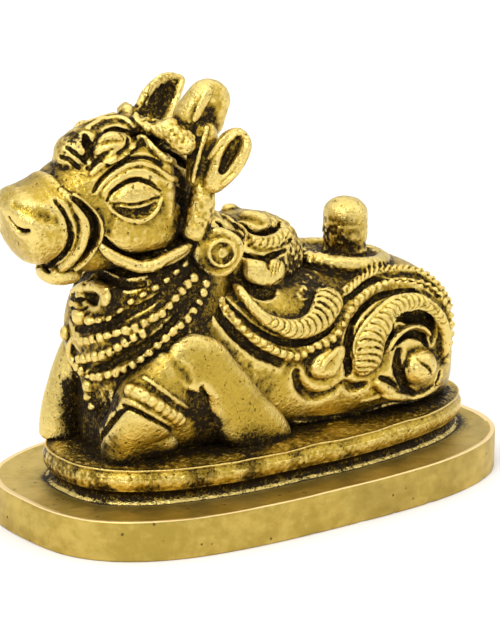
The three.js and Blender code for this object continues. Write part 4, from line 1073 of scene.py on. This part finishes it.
ANKLET_EDGE = [(122, 398, 0.3), (135, 404, 0.32), (150, 412.5, 0.32), (165, 422, 0.32), (181, 433, 0.3)]
LEG_GRAIN = 0.012  # the legs are smoother than the rest
LEG_STROKES = [
    # slot between the folded knee and the shank
    ("flat", [(202, 388, 0.4, -0.8), (203, 396, 0.75, -2.2), (203, 404, 0.75, -2.4), (203, 412, 0.75, -2.4),
              (205, 421, 0.7, -2), (210, 430, 0.6, -1)]),
    # soft dimple on the knee
    ("bell", [(176, 364, 0.9, -0.12), (184, 373, 1.4, -0.22), (189, 382, 0.9, -0.12)]),
    # thin ridge over the anklet, groove beside the hoof, groove over the hoof
    ("round", [(144, 377, 0.25, 0.25), (158, 387, 0.28, 0.45), (174, 399, 0.28, 0.45),
               (190, 411, 0.25, 0.3)]),
    ("bell", [(100, 441, 0.5, -0.4), (107, 429, 0.65, -0.8), (117, 416, 0.65, -0.8), (126, 408, 0.5, -0.5)]),
    ("bell", [(122, 405, 0.35, -0.4), (136, 411, 0.45, -0.8), (152, 419, 0.45, -0.8),
              (168, 428, 0.45, -0.8), (183, 437, 0.35, -0.5)]),
]


def make_block():
    """The outline shrunk towards its middle as it moves out, by the formula of a square oval."""
    outline = np.array([(x, 0, z) for x, z in KNEE_BLOCK + KNEE_BLOCK[:1]])
    outline = along(outline, 121)[:-1]
    middle = outline.mean(axis=0)
    turn = np.linspace(-np.pi / 2 + 0.03, np.pi / 2 - 0.03, 28)
    size = np.cos(turn) ** (2 / BLOCK_SQUARE)
    depth = BLOCK_MIDDLE + BLOCK_HALF_DEPTH * signed_power(np.sin(turn), 2 / BLOCK_SQUARE)
    rings = middle + (outline - middle) * size[:, None, None]
    rings[:, :, 1] = depth[:, None]
    return shell(rings[:, ::-1])


def make_near_leg():
    """The block, the shank with its hoof, and the anklet: a plate, a row of beads and an edge."""
    forward = (-0.35, -0.94, 0)
    shank = tube(NEAR_SHANK, (0, -1, 0), ends=0.08, square=2.4, sides=48)
    path = along(seen(shank, ANKLET), 60)
    edge = with_width(seen(shank, ANKLET_EDGE), 0.5)
    return [
        make_block(), shank, HOOF,
        tube(np.column_stack([path, np.full((60, 2), (0.9, 0.5))]), forward, ends=0.05, square=3),
        beads(path + np.array(forward) * 0.45, forward, 1.2, (0.55, 0.85, 0.6), square=3, waver=0.3),
        tube(edge, forward, ends=0.1),
    ]


near_leg = fused(make_near_leg())
near_leg = carved(near_leg, strokes_seen(near_leg, LEG_STROKES))
add_piece("left_foreleg", *roughened(near_leg, everywhere=LEG_GRAIN), cast_brass)
far_shank = tube(FAR_SHANK, (0, 1, 0), ends=0.08, square=2.4, sides=48)
far_leg = fused([far_shank, mirrored(make_block())], voxel=0.3)
add_piece("right_foreleg", *roughened(far_leg, everywhere=LEG_GRAIN), cast_brass)


# Head. The bull's face with its heavy lids and lips, leafy brow ornament, horns,
# rolled hair, ears and earrings, cast in brass with the neck and turned a little to
# one side. It is modelled looking straight ahead, and turned once its forms are one.
HEAD = np.array([  # [x, half-width, lowest, highest]
    [-34.5, 4.6, 28.6, 38.0], [-32.4, 5.4, 26.8, 39.6], [-28.8, 6.0, 25.8, 41.4], [-25, 6.8, 25.6, 42.4],
    [-20, 7.4, 25.7, 43.2], [-17.5, 7.1, 26.4, 43.3], [-16.2, 4.8, 27.0, 43.2], [-14, 4.6, 27.6, 43.0],
    [-10.5, 4.6, 29.0, 42.0],
])
HEAD_SQUARE, SKULL_END, SNOUT_SQUARE, SNOUT_END = 2.7, 2.4, 2.4, 2.2
HEAD_TURN, HEAD_PIVOT = math.radians(-5), np.array([-14.0, 0, 0])


def make_skull():
    """Square ovals across the head, rounded off at both ends."""
    x = np.linspace(HEAD[0, 0], HEAD[-1, 0], 90)
    half_width, low, high = hermite(HEAD[:, 0], HEAD[:, 1:], x).T
    closing = rounding(x - x[0] + 0.02, 2.5, SKULL_END) * rounding(x[-1] - x + 0.02, 6, SKULL_END)
    angle = np.linspace(0, 2 * np.pi, 96, endpoint=False)
    half_width, half_height = half_width * closing, (high - low) / 2 * closing
    y, z = oval(angle[None], half_width[:, None], half_height[:, None], HEAD_SQUARE)
    return shell(np.stack([np.broadcast_to(x[:, None], y.shape), y, ((high + low) / 2)[:, None] + z], -1))


SNOUT = np.array([  # [x, half-width, lowest, highest]
    [-39.84, 3.6, 34.2, 37.0], [-39.05, 4.7, 32.6, 37.5], [-37.8, 5.3, 30.1, 37.9], [-36.0, 5.7, 28.2, 38.3],
    [-34.0, 5.8, 27.6, 38.9], [-32.2, 5.5, 27.8, 39.6], [-31.2, 4.9, 28.6, 39.4],
])


def make_snout():
    """The snout's sections, bowed so that its back edge runs forward at the top and the bottom."""
    x = np.linspace(SNOUT[0, 0], SNOUT[-1, 0], 60)
    half_width, low, high = hermite(SNOUT[:, 0], SNOUT[:, 1:], x).T
    closing = rounding(x - x[0] + 0.01, 2.6, SNOUT_END) * rounding(x[-1] - x + 0.01, 1.2, SNOUT_END)
    angle = np.linspace(0, 2 * np.pi, 80, endpoint=False)
    half_width, half_height = half_width * closing, (high - low) / 2 * closing
    y, z = oval(angle[None], half_width[:, None], half_height[:, None], SNOUT_SQUARE)
    share = ((x - x[0]) / (x[-1] - x[0]))[:, None]
    bow = 2.2 * share**1.5 * np.abs(z / 6.0) ** 2.5 * np.where(z < 0, 1.6, 0.5)
    return shell(np.stack([x[:, None] - bow, y, ((high + low) / 2)[:, None] + z], -1))


# Forms of the head. But for the horns, those beside its middle are on the left and
# are mirrored to the right.
OUT = (-0.45, -0.85, 0.15)
UP = (0, 0, 1)
CHIN = lump((-31.2, 0, 25.9), (2.9, 3.4, 1.8), square=2.3)
EYEBALL = lump((-22.9, -6.2, 36.2), (3.3, 1.5, 2.4))
CHEEK = lump((-21.5, -5.2, 32.2), (5.9, 2.5, 3.9), square=2.6)
JAW_RIM = tube([[-28.4, -5.9, 30.5, 0.5, 0.7], [-26.7, -6.0, 28.9, 0.55, 0.8], [-24.4, -6.2, 27.6, 0.6, 0.9],
                [-21.6, -6.8, 27.2, 0.7, 1.1], [-19.0, -7.3, 27.4, 0.8, 1.2], [-16.8, -7.3, 28.2, 0.8, 1.2],
                [-15.0, -7.1, 29.1, 0.6, 1.0]], (0, -1, 0), ends=0.1)
BROW_LOBE = lump((-28.9, -0.2, 41.2), (2.8, 2.8, 3.1), turn=(0, 0.2, 0), square=2.2)
SIDE_LOBE = lump((-24.6, -3.0, 42.4), (3.3, 1.9, 2.0), turn=(0.35, -0.2, 0.25))
CREST = tube([[-30.4, 0, 41.8, 1.8, 1.5], [-28.8, 0, 42.8, 2.2, 1.8], [-26.0, 0, 43.6, 2.4, 1.8],
              [-21.5, 0, 44.3, 2.4, 1.7], [-16.5, 0, 44.1, 2.8, 1.9]], UP, ends=0.2)
HAIR_ROLL = tube([[-20.2, -0.6, 45.2, 1.5, 1.4], [-18.6, -2.8, 45.2, 1.7, 1.6], [-17.0, -5.0, 44.2, 1.7, 1.5],
                  [-15.6, -6.6, 42.6, 1.6, 1.4], [-14.9, -7.2, 41.4, 1.2, 1.1]], OUT, square=2.4)
STRAP = tube([[-12.9, -6.9, 38.2, 1.2, 2.0], [-13.2, -7.1, 36.0, 1.6, 2.1], [-13.5, -7.2, 33.8, 1.8, 2.1],
              [-14.2, -7.0, 31.4, 1.9, 2.1], [-15.0, -6.5, 29.2, 1.9, 2.0]], OUT, square=2.5, ends=0.2)
EAR_ROOT = tube([[-13.8, -7.0, 36.5, 1.7, 1.6], [-13.2, -6.8, 39.5, 2.0, 1.6], [-12.7, -6.3, 42.5, 2.1, 1.7],
                 [-12.4, -5.2, 45.2, 1.8, 1.6]], OUT, ends=0.1)
EAR = tube([[-13.6, -8.4, 36.2, 1.0, 1.1], [-12.4, -9.2, 38.0, 1.7, 1.4], [-11.1, -9.8, 40.4, 2.3, 1.4],
            [-10.0, -10.1, 42.8, 2.3, 1.3], [-9.2, -10.2, 44.8, 1.6, 1.0]], OUT, ends=0.2, square=2.4)
NEAR_HORN = tube([[-12.7, -3.4, 42.6, 3.9, 2.4], [-12.1, -4.5, 45.6, 3.6, 2.3], [-11.1, -5.1, 47.9, 3.1, 2.0],
                  [-10.1, -5.4, 50.5, 2.9, 1.7]], (0, -1, 0), ends=0.3, square=2.6, sides=40)
FAR_HORN = tube([[-13.9, 3.6, 40.6, 3.2, 2.3], [-13.7, 4.6, 43.4, 3.2, 2.2], [-12.6, 5.1, 45.8, 3.0, 1.9],
                 [-10.6, 5.2, 47.7, 2.1, 1.5], [-8.5, 5.2, 48.6, 0.9, 0.9]], (0, 1, 0), ends=0.2, square=2.3,
                sides=40)


def make_earring():
    """A rounded plate with a ringed disc near its rear edge, hanging below the ear."""
    facing = np.array(Vector((-0.45, -0.88, 0.12)).to_track_quat("Z", "Y").to_matrix())
    rings = turning([[0.1, -1.4], [1.95, -1.4], [2.0, 1.0], [1.85, 1.3], [1.6, 1.3], [1.4, 0.8], [1.1, 0.65],
                     [0.75, 0.75], [0.6, 1.15], [0.4, 1.25], [0.1, 1.0]], (0, 0, 0), sides=48)
    plate = lump((-11.9, -9.1, 27.9), (3.2, 0.95, 3.3), turn=(0, 0.5, -0.45), square=2.6, sides=40)
    return joined([plate, (rings[0] @ facing.T + [-11.5, -9.3, 27.9], rings[1])])


FACE_STROKES = [
    # brow ridge and the groove under it
    ("round", [(91, 174, 0.35, 0.3), (99, 167, 0.45, 0.6), (110, 160, 0.5, 0.8), (121, 155, 0.5, 0.8),
               (132, 146, 0.5, 0.8), (141, 140, 0.5, 0.9), (152, 148, 0.5, 0.8), (162, 157, 0.45, 0.7),
               (178, 167, 0.35, 0.4)]),
    ("vee", [(94, 192, 0.3, -0.4), (99, 182, 0.4, -0.8), (108, 173, 0.4, -0.8), (122, 163, 0.4, -0.7),
             (137, 156.5, 0.4, -0.6), (150, 158, 0.4, -0.5), (163, 165, 0.35, -0.4)]),
    # upper lid: its ridge, its swelling and the crease over the eyeball
    ("round", [(96, 192, 0.35, 0.3), (104, 181, 0.4, 0.6), (114, 173, 0.4, 0.6), (127, 166.5, 0.4, 0.6),
               (141, 164, 0.4, 0.6), (155, 168, 0.4, 0.6), (167, 176, 0.4, 0.6), (177, 185, 0.35, 0.3)]),
    ("bell", [(104, 194, 0.6, 0.3), (113, 182, 1, 0.4), (127, 173, 1.1, 0.4), (141, 171, 1.1, 0.4),
              (155, 176, 1.1, 0.4), (170, 184, 0.8, 0.3)]),
    ("bell", [(107, 201, 0.3, -0.3), (113, 191, 0.35, -0.55), (124, 183, 0.38, -0.6), (137, 179, 0.4, -0.65),
              (150, 183, 0.38, -0.6), (160, 191, 0.3, -0.4)]),
    # lower lid: the line of the closed eye, the hollow under it and its rim
    ("vee", [(111, 204, 0.3, -0.4), (124, 205.5, 0.4, -0.6), (139, 204.5, 0.4, -0.7), (151, 201, 0.4, -0.6),
             (160, 196.5, 0.3, -0.4)]),
    ("bell", [(114, 208, 0.4, -0.25), (124, 211.5, 0.8, -0.45), (135, 213.5, 0.9, -0.5),
              (146, 211, 0.8, -0.5), (155, 204, 0.4, -0.3)]),
    ("round", [(110, 208, 0.25, 0.15), (117, 214, 0.28, 0.3), (127, 219, 0.3, 0.35), (138, 221, 0.3, 0.35),
               (150, 217.5, 0.3, 0.35), (158, 208, 0.28, 0.3), (161.5, 198, 0.25, 0.15)]),
    # crescent under the cheek and the rim of the jaw
    ("flat", [(104, 240, 0.45, -0.7), (114, 250.5, 0.6, -1.3), (128, 256, 0.8, -1.7),
              (143, 257.5, 0.85, -1.8), (157, 254, 0.85, -1.7), (168, 247.5, 0.6, -1.2)]),
    ("round", [(99, 244, 0.35, 0.3), (110, 254, 0.5, 0.8), (125, 262, 0.55, 0.9), (139, 266, 0.55, 1),
               (154, 264.5, 0.55, 1), (168, 258, 0.5, 0.9), (182, 250, 0.5, 0.7), (190, 245, 0.35, 0.3)]),
    # recess under the hair
    ("flat", [(147, 138, 0.5, -0.9), (158, 146, 0.8, -1.5), (172, 155.5, 0.85, -1.6),
              (186, 164, 0.8, -1.6)]),
    # gap behind the lips, the thin rim before the cheek, the lips and the crease behind the snout
    ("flat", [(72, 198, 0.4, -0.5), (81, 205, 0.6, -1.2), (91, 217, 0.7, -1.5), (95, 231, 0.7, -1.6),
              (91, 246, 0.7, -1.5), (82, 258, 0.6, -1.2), (72, 267, 0.45, -0.8)]),
    ("round", [(74, 194, 0.3, 0.3), (84, 203, 0.33, 0.6), (93, 211, 0.35, 0.7), (99.5, 221, 0.35, 0.8),
               (101, 231, 0.35, 0.8), (96.5, 244, 0.35, 0.8), (87, 257, 0.35, 0.7), (76, 268, 0.33, 0.5)]),
    ("round", [(61, 190, 0.4, 0.3), (72, 200, 0.6, 0.6), (80, 211, 0.7, 0.7), (84, 223, 0.75, 0.8),
               (84, 234, 0.75, 0.8), (80, 247, 0.7, 0.8), (72, 259, 0.65, 0.7), (62, 268, 0.6, 0.6)]),
    ("vee", [(55, 201, 0.4, -0.5), (63, 210, 0.5, -0.9), (69, 221, 0.5, -1.1), (71, 233, 0.5, -1.1),
             (69, 246, 0.5, -1), (60, 257, 0.5, -0.9), (47, 265, 0.45, -0.8), (36, 266, 0.4, -0.7)]),
    # nostril with its wing, and the hollow of the snout
    ("bell", [(9, 218, 0.4, -0.6), (13, 225, 0.55, -1.3), (18, 230, 0.65, -1.5), (23, 232, 0.6, -1.3),
              (28, 231, 0.4, -0.6)]),
    ("bell", [(14, 206, 1, -0.2), (27, 211, 1.5, -0.45), (42, 216, 1.6, -0.5), (56, 220, 1.1, -0.25)]),
    # brow ornament: the groove between its lobes, soft valleys, an almond with hollows
    # round it, and a ridge
    ("bell", [(85.5, 135, 0.45, -0.8), (87, 143, 0.8, -1.5), (89, 152, 0.6, -1), (84, 160, 0.5, -0.6)]),
    ("bell", [(60, 157, 0.4, -0.25), (69, 160, 0.5, -0.45), (78, 167, 0.4, -0.3)]),
    ("bell", [(67, 147, 0.4, -0.25), (74, 152, 0.5, -0.45), (84, 160, 0.4, -0.3)]),
    ("bell", [(88, 168, 0.5, -0.3), (101, 157, 0.7, -0.5), (112, 150, 0.5, -0.3)]),
    ("round", [(99, 142, 0.35, 0.3), (107, 138, 0.6, 0.7), (115, 137, 0.6, 0.7), (121, 139, 0.35, 0.3)]),
    ("bell", [(106, 131, 0.4, -0.5), (117, 129, 0.5, -0.8), (127, 133, 0.45, -0.6)]),
    ("bell", [(129, 139, 0.45, -0.7), (126, 149, 0.6, -0.9), (117, 156, 0.5, -0.6)]),
    ("bell", [(88, 127, 0.6, 0.3), (103, 120, 0.7, 0.45), (121, 118, 0.7, 0.45), (135, 127, 0.5, 0.3)]),
    # ear: its hollow, its front ridge and its rim
    ("flat", [(223, 170, 0.7, -0.8), (228, 158, 1.1, -1.3), (235, 147, 1.15, -1.3), (240, 139, 0.7, -0.8)]),
    ("round", [(206, 163, 0.3, 0.3), (214, 152, 0.32, 0.4), (222, 141, 0.32, 0.4), (229, 133, 0.3, 0.2)]),
    ("round", [(207, 128, 0.3, 0.3), (202, 145, 0.35, 0.5), (197, 165, 0.35, 0.5), (193, 182, 0.3, 0.3)]),
    ("round", [(240, 131, 0.3, 0.3), (247, 139, 0.4, 0.4), (245, 153, 0.4, 0.4), (237, 171, 0.4, 0.4),
               (224, 184, 0.35, 0.3)]),
]
HORN_STROKES = [
    # near horn: the ridge between its faces and the hollow behind it
    ("round", [(209, 88, 0.5, 0.15), (206, 97, 0.6, 0.25), (201, 107, 0.6, 0.25), (196, 118, 0.5, 0.15)]),
    ("bell", [(219, 103, 0.9, -0.1), (212, 114, 1.5, -0.15)]),
    # far horn: hollow towards the near one, with a thick rim
    ("flat", [(153, 110, 2.7, -1.2), (162, 98, 3, -1.6), (171, 88, 2.4, -1.5), (178, 80, 1.2, -0.9)]),
    ("round", [(139, 103, 0.3, 0.3), (147, 91, 0.4, 0.4), (157, 79, 0.4, 0.4), (170, 74, 0.35, 0.3)]),
]
HEAD_ROUGH = [  # [x, y, z, reach, height]
    [-18.5, -2.4, 45.4, 2.8, 0.3], [-16, -6, 43.4, 2.8, 0.3], [-29, -2, 41, 3.5, 0.14],
    [-24.6, -4, 42, 3.2, 0.12], [-13.6, -7.8, 34.6, 4.2, 0.16], [-12.6, -8.6, 37.4, 2.0, 0.2],
    [-10.5, -5.4, 48.4, 3.0, 0.08],
]


def on_head(points, way=1):
    """Points of the unturned head where they are on the turned one, or back with way -1."""
    return HEAD_PIVOT + turned(points - HEAD_PIVOT, (0, 0, way * HEAD_TURN))


def across_head(rows):
    """Rows on the left of the turned head, mirrored to its right."""
    place = on_head(on_head(rows[:, :3], -1) * [1, -1, 1])
    return np.column_stack([place, rows[:, 3:]])


head_near = [EYEBALL, CHEEK, JAW_RIM, SIDE_LOBE, HAIR_ROLL, STRAP, EAR_ROOT, EAR, make_earring()]
head_middle = [make_skull(), make_snout(), CHIN, BROW_LOBE, CREST, NEAR_HORN, FAR_HORN]
head_points, head_faces = fused(head_middle + head_near + [mirrored(form) for form in head_near], voxel=0.2)
head = on_head(head_points), head_faces
face_strokes = strokes_seen(head, FACE_STROKES)
far_strokes = [(kind, across_head(rows)) for kind, rows in face_strokes]
head = carved(head, face_strokes + far_strokes + strokes_seen(head, HORN_STROKES))
near_rough = np.array(HEAD_ROUGH)
near_rough[:, :3] = on_head(near_rough[:, :3])
add_piece("head", *roughened(head, [*near_rough, *across_head(near_rough)]), cast_brass)


# Patina and painted shade. The dark oxide that stays in the sheltered places of the
# whole casting when what stands out is rubbed bright. How sheltered a point is comes
# from how much metal lies around it, in a blurred grid of what is metal and what is air.
# Painted shade darkens surfaces that face downwards, and patches are darkened with
# patina and painted shade.
# painted shade: how much darker surfaces that face downwards are made
UNDERSIDE_PAINTED_SHADE = 0.12
GRID, GRID_MARGIN = 0.3, 4
BLURS = (  # [reach, distance out of the skin, share of metal over flat ground, weight]
    (0.5, 0.3, 0.29, 1.5), (1.6, 0.9, 0.30, 2.0),
)
LEAST_PATINA_AND_SHADE, MOST_PATINA_AND_SHADE = -0.4, 1.2
# Patches darkened with patina and painted shade, and lightened where the brass is rubbed.
PATINA_AND_SHADE_PATCHES = [  # pixels across and down, reach in mm, strength, below 0 where the brass is rubbed
    # chest, throat and the side of the neck
    (62, 395, 5, 0.5), (105, 424, 5, 0.4), (88, 412, 5, 0.35), (120, 278, 3, 0.4), (150, 272, 3, 0.5),
    (190, 262, 3.5, 0.5), (172, 276, 4, 0.35), (205, 282, 3.5, 0.4), (206, 300, 3.5, 0.4),
    (212, 325, 3, 0.35), (196, 318, 3, 0.25), (140, 372, 3, 0.3),
    # between the kneeling leg and the hoof, and round the leg
    (213, 425, 2.5, 0.8), (198, 408, 2.2, 1.0), (206, 424, 2.4, 1.0), (200, 394, 1.4, 0.8),
    (211, 436, 2.6, 0.8), (232, 350, 2.5, 0.3), (262, 385, 2.5, 0.15), (295, 404, 5, -0.4),
    (328, 402, 6, -0.5), (362, 398, 5, -0.4), (395, 393, 3, -0.15),
    # back, hump and dish
    (300, 285, 5, 0.3), (325, 278, 4, 0.4), (258, 296, 3, 0.3), (284, 262, 3.5, 0.4),
    (345, 248, 1.8, 0.4), (300, 262, 4, 0.35), (236, 222, 3, 0.4), (222, 230, 3, 0.4), (210, 222, 3, 0.3),
    # hair, ear and the slot behind the face
    (178, 160, 2, 0.4), (196, 165, 2.5, 0.5), (183, 212, 2, 0.5), (216, 165, 2.5, 0.35),
    (160, 130, 2.5, 0.25), (185, 138, 2.5, 0.35), (178, 232, 2.5, 0.4),
    # rubbed eye, in spite of its creases
    (118, 190, 3, -0.25), (135, 197, 4, -0.3), (152, 190, 3, -0.25), (135, 160, 4, -0.15),
    (112, 172, 3, -0.15),
    # brow, horns and stone; the stone is darkened as painted shade
    (120, 140, 3, 0.3), (70, 140, 3, 0.25), (205, 100, 3.5, 0.2), (155, 100, 3, 0.8), (168, 88, 2.5, 0.7),
    (345, 222, 4, 0.5), (345, 208, 3, 0.25), (100, 128, 4, 0.25), (75, 150, 3.5, 0.25),
    (130, 124, 3.5, 0.25), (335, 238, 2, 0.3), (353, 240, 2, 0.3),
    # between the strings, and the chest beside the leg
    (110, 320, 4, 0.3), (150, 310, 4, 0.3), (180, 300, 4, 0.35), (150, 350, 4, 0.3), (175, 330, 3, 0.3),
    (103, 414, 2, 0.9), (98, 427, 1.8, 0.8), (114, 403, 1.6, 0.7), (142, 434, 4, -0.45),
    # haunch and the flank below the borders
    (402, 372, 3, 0.5), (398, 330, 2, 0.3), (300, 370, 3, 0.15), (275, 362, 3, 0.2),
    # top of the upper slab round the figure
    (60, 442, 4, 0.3), (90, 450, 4, 0.35), (150, 462, 4, 0.3), (205, 447, 4, 0.45), (250, 447, 4, 0.3),
    (310, 428, 4, 0.35), (360, 416, 4, 0.35), (410, 402, 4, 0.35), (440, 388, 4, 0.3),
    # side of the upper slab
    (55, 468, 3, 0.45), (78, 480, 3, 0.25), (100, 487, 3, 0.6), (150, 485, 3, 0.6), (200, 477, 3, 0.6),
    (250, 470, 3, 0.6), (300, 460, 3, 0.45), (350, 448, 3, 0.45), (400, 436, 3, 0.3), (435, 424, 3, 0.3),
]


def metal_grid(points, faces, low, count):
    """A grid of cells, 1 in metal and 0 in air. A ray straight up each column counts the
    shells that it is inside of: one more where it enters one, one less where it leaves."""
    tree = BVHTree.FromPolygons(points.tolist(), faces.tolist())
    upwards, onwards = Vector((0, 0, 1)), Vector((0, 0, 1e-4))
    solid = np.zeros(count, np.float32)
    heights = low[2] + GRID * (np.arange(count[2]) + 0.5)
    for i, j in itertools.product(range(count[0]), range(count[1])):
        # a little off the column's middle, so that no ray runs along an edge
        start = Vector((low[0] + GRID * (i + 0.503), low[1] + GRID * (j + 0.507), low[2]))
        inside, entered = 0, 0.0
        while True:
            hit, normal, _, _ = tree.ray_cast(start, upwards)
            if hit is None:
                break
            inside += 1 if normal.z < 0 else -1
            if inside == 1 and normal.z < 0:
                entered = hit.z
            elif inside == 0:
                solid[i, j, (heights > entered) & (heights < hit.z)] = 1
            start = hit + onwards
    return solid


def read_grid(grid, places):
    """A grid's values at places between its cells, blended along all three axes."""
    cell = np.clip(np.floor(places).astype(int), 0, np.array(grid.shape) - 2)
    part = places - cell
    here = np.zeros(len(places))
    for corner in itertools.product((0, 1), repeat=3):
        here += np.where(corner, part, 1 - part).prod(axis=1) * grid[tuple((cell + corner).T)]
    return here


def patina_and_shade_of(pieces):
    """For each piece its points' patina and painted shade: more on undersides as painted
    shade, more in the patches of patina and painted shade, and more by how far the metal
    around a point, blurred over each reach, passes that over flat ground."""
    triangles = [(skin, faces[:, [0, 1, 2]]) for _, skin, faces, _ in pieces]
    triangles += [(skin, faces[:, [0, 2, 3]]) for _, skin, faces, _ in pieces if faces.shape[1] == 4]
    points, faces = joined(triangles)
    low = points.min(axis=0) - GRID_MARGIN
    count = np.ceil((points.max(axis=0) + GRID_MARGIN - low) / GRID).astype(int)
    spectrum = np.fft.rfftn(metal_grid(points, faces, low, count))
    waves = [np.fft.fftfreq(n, GRID) for n in count[:2]] + [np.fft.rfftfreq(count[2], GRID)]
    square = sum(wave**2 for wave in np.meshgrid(*waves, indexing="ij"))
    # painted shade on surfaces that face downwards
    result = [UNDERSIDE_PAINTED_SHADE * np.clip(-normals[:, 2] - 0.1, 0, 1) for _, _, _, normals in pieces]
    for x, y, z, reach, strength in seen((points, faces), PATINA_AND_SHADE_PATCHES):
        for side, (total, (_, skin, _, _)) in itertools.product((1, -1), list(zip(result, pieces))):
            far = np.linalg.norm(skin - [x, side * y, z], axis=1) / reach
            total += strength * np.clip(1 - far**2, 0, 1)
    for reach, off, flat, weight in BLURS:
        falloff = np.exp(-2 * (np.pi * reach) ** 2 * square)
        blurred = np.fft.irfftn(spectrum * falloff, s=tuple(count), axes=(0, 1, 2))
        for total, (_, skin, _, normals) in zip(result, pieces):
            total += weight * (read_grid(blurred, (skin + off * normals - low) / GRID - 0.5) - flat)
    return [np.clip(total, LEAST_PATINA_AND_SHADE, MOST_PATINA_AND_SHADE) for total in result]


for (piece, *_), shelter in zip(casting, patina_and_shade_of(casting)):
    layer = piece.data.attributes.new("shelter", "FLOAT", "POINT")
    layer.data.foreach_set("value", shelter.astype(np.float32))


# Camera, floor and light. The camera stands where the photograph was taken, a
# little above and in front of the bull's left side. The floor is pale and plain,
# and the light comes soft from white tents all round and two lamps.
FLOOR_PALE, FLOOR_ROUGH = (0.9, 0.9, 0.9, 1), 0.9
AIM = Vector((0, 0, 0.03))
camera = bpy.data.objects.new("camera", bpy.data.cameras.new("camera"))
camera.data.sensor_width = 36
camera.data.lens = PIXELS_PER_MM * DISTANCE / PHOTO_HIGH * camera.data.sensor_width
camera.data.clip_start, camera.data.clip_end = 0.05, 10
matrix = np.eye(4)
matrix[:3, :3] = np.stack([right, up, back], -1)
matrix[:3, 3] = (back * DISTANCE + right * LOOK_ACROSS + up * LOOK_UP) / 1000  # mm to metres
camera.matrix_world = Matrix(matrix.tolist())
bpy.context.scene.collection.objects.link(camera)
bpy.context.scene.camera = camera

floor_mesh = bpy.data.meshes.new("floor")
floor_mesh.from_pydata([(-3, -3, 0), (3, -3, 0), (3, 3, 0), (-3, 3, 0)], [], [(0, 1, 2, 3)])
floor = bpy.data.objects.new("floor", floor_mesh)
floor_material = bpy.data.materials.new("floor")
floor_material.use_nodes = True
floor_shader = floor_material.node_tree.nodes["Principled BSDF"]
floor_shader.inputs["Base Color"].default_value = FLOOR_PALE
floor_shader.inputs["Roughness"].default_value = FLOOR_ROUGH
floor_mesh.materials.append(floor_material)
bpy.context.scene.collection.objects.link(floor)

# The tents' light is brighter overhead and dimmer on the camera's side.
world = bpy.data.worlds.new("studio")
world.use_nodes = True
sky = world.node_tree
towards = node(sky, "ShaderNodeTexCoord").outputs["Generated"]


def facing_share(direction, low, high):
    """0 to 1 as the view turns towards a direction: a smooth step of their dot product."""
    dot = node(sky, "ShaderNodeVectorMath", {0: towards, 1: direction}, operation="DOT_PRODUCT")
    return smooth_step(sky, dot.outputs["Value"], low, high)


overhead = facing_share((0, 0, 1), 0.15, 0.8)
camera_side = facing_share(tuple(back * [1, 1, 0] / np.hypot(*back[:2])), 0.1, 0.9)
strength = maths(sky, "MULTIPLY_ADD", overhead, 0.75, 0.62)
dimmed = maths(sky, "MULTIPLY", camera_side, maths(sky, "SUBTRACT", 1.0, overhead))
strength = maths(sky, "MULTIPLY_ADD", dimmed, -0.34, strength)
sky.links.new(strength, sky.nodes["Background"].inputs["Strength"])
sky.nodes["Background"].inputs["Color"].default_value = (1, 1, 1, 1)
bpy.context.scene.world = world


def softbox(name, place, size, power):
    """A round lamp of a size in metres and a power in watts, aimed at the bull."""
    data = bpy.data.lights.new(name, "AREA")
    data.shape, data.size, data.energy = "DISK", size, power
    lamp = bpy.data.objects.new(name, data)
    lamp.location = place
    lamp.rotation_mode = "QUATERNION"
    lamp.rotation_quaternion = (AIM - Vector(place)).to_track_quat("-Z", "Y")
    bpy.context.scene.collection.objects.link(lamp)


softbox("key", (-0.45, -0.30, 0.50), 0.22, 1.7)
softbox("fill", (0.45, -0.40, 0.35), 0.25, 0.35)
bpy.context.scene.view_settings.view_transform = "Standard"
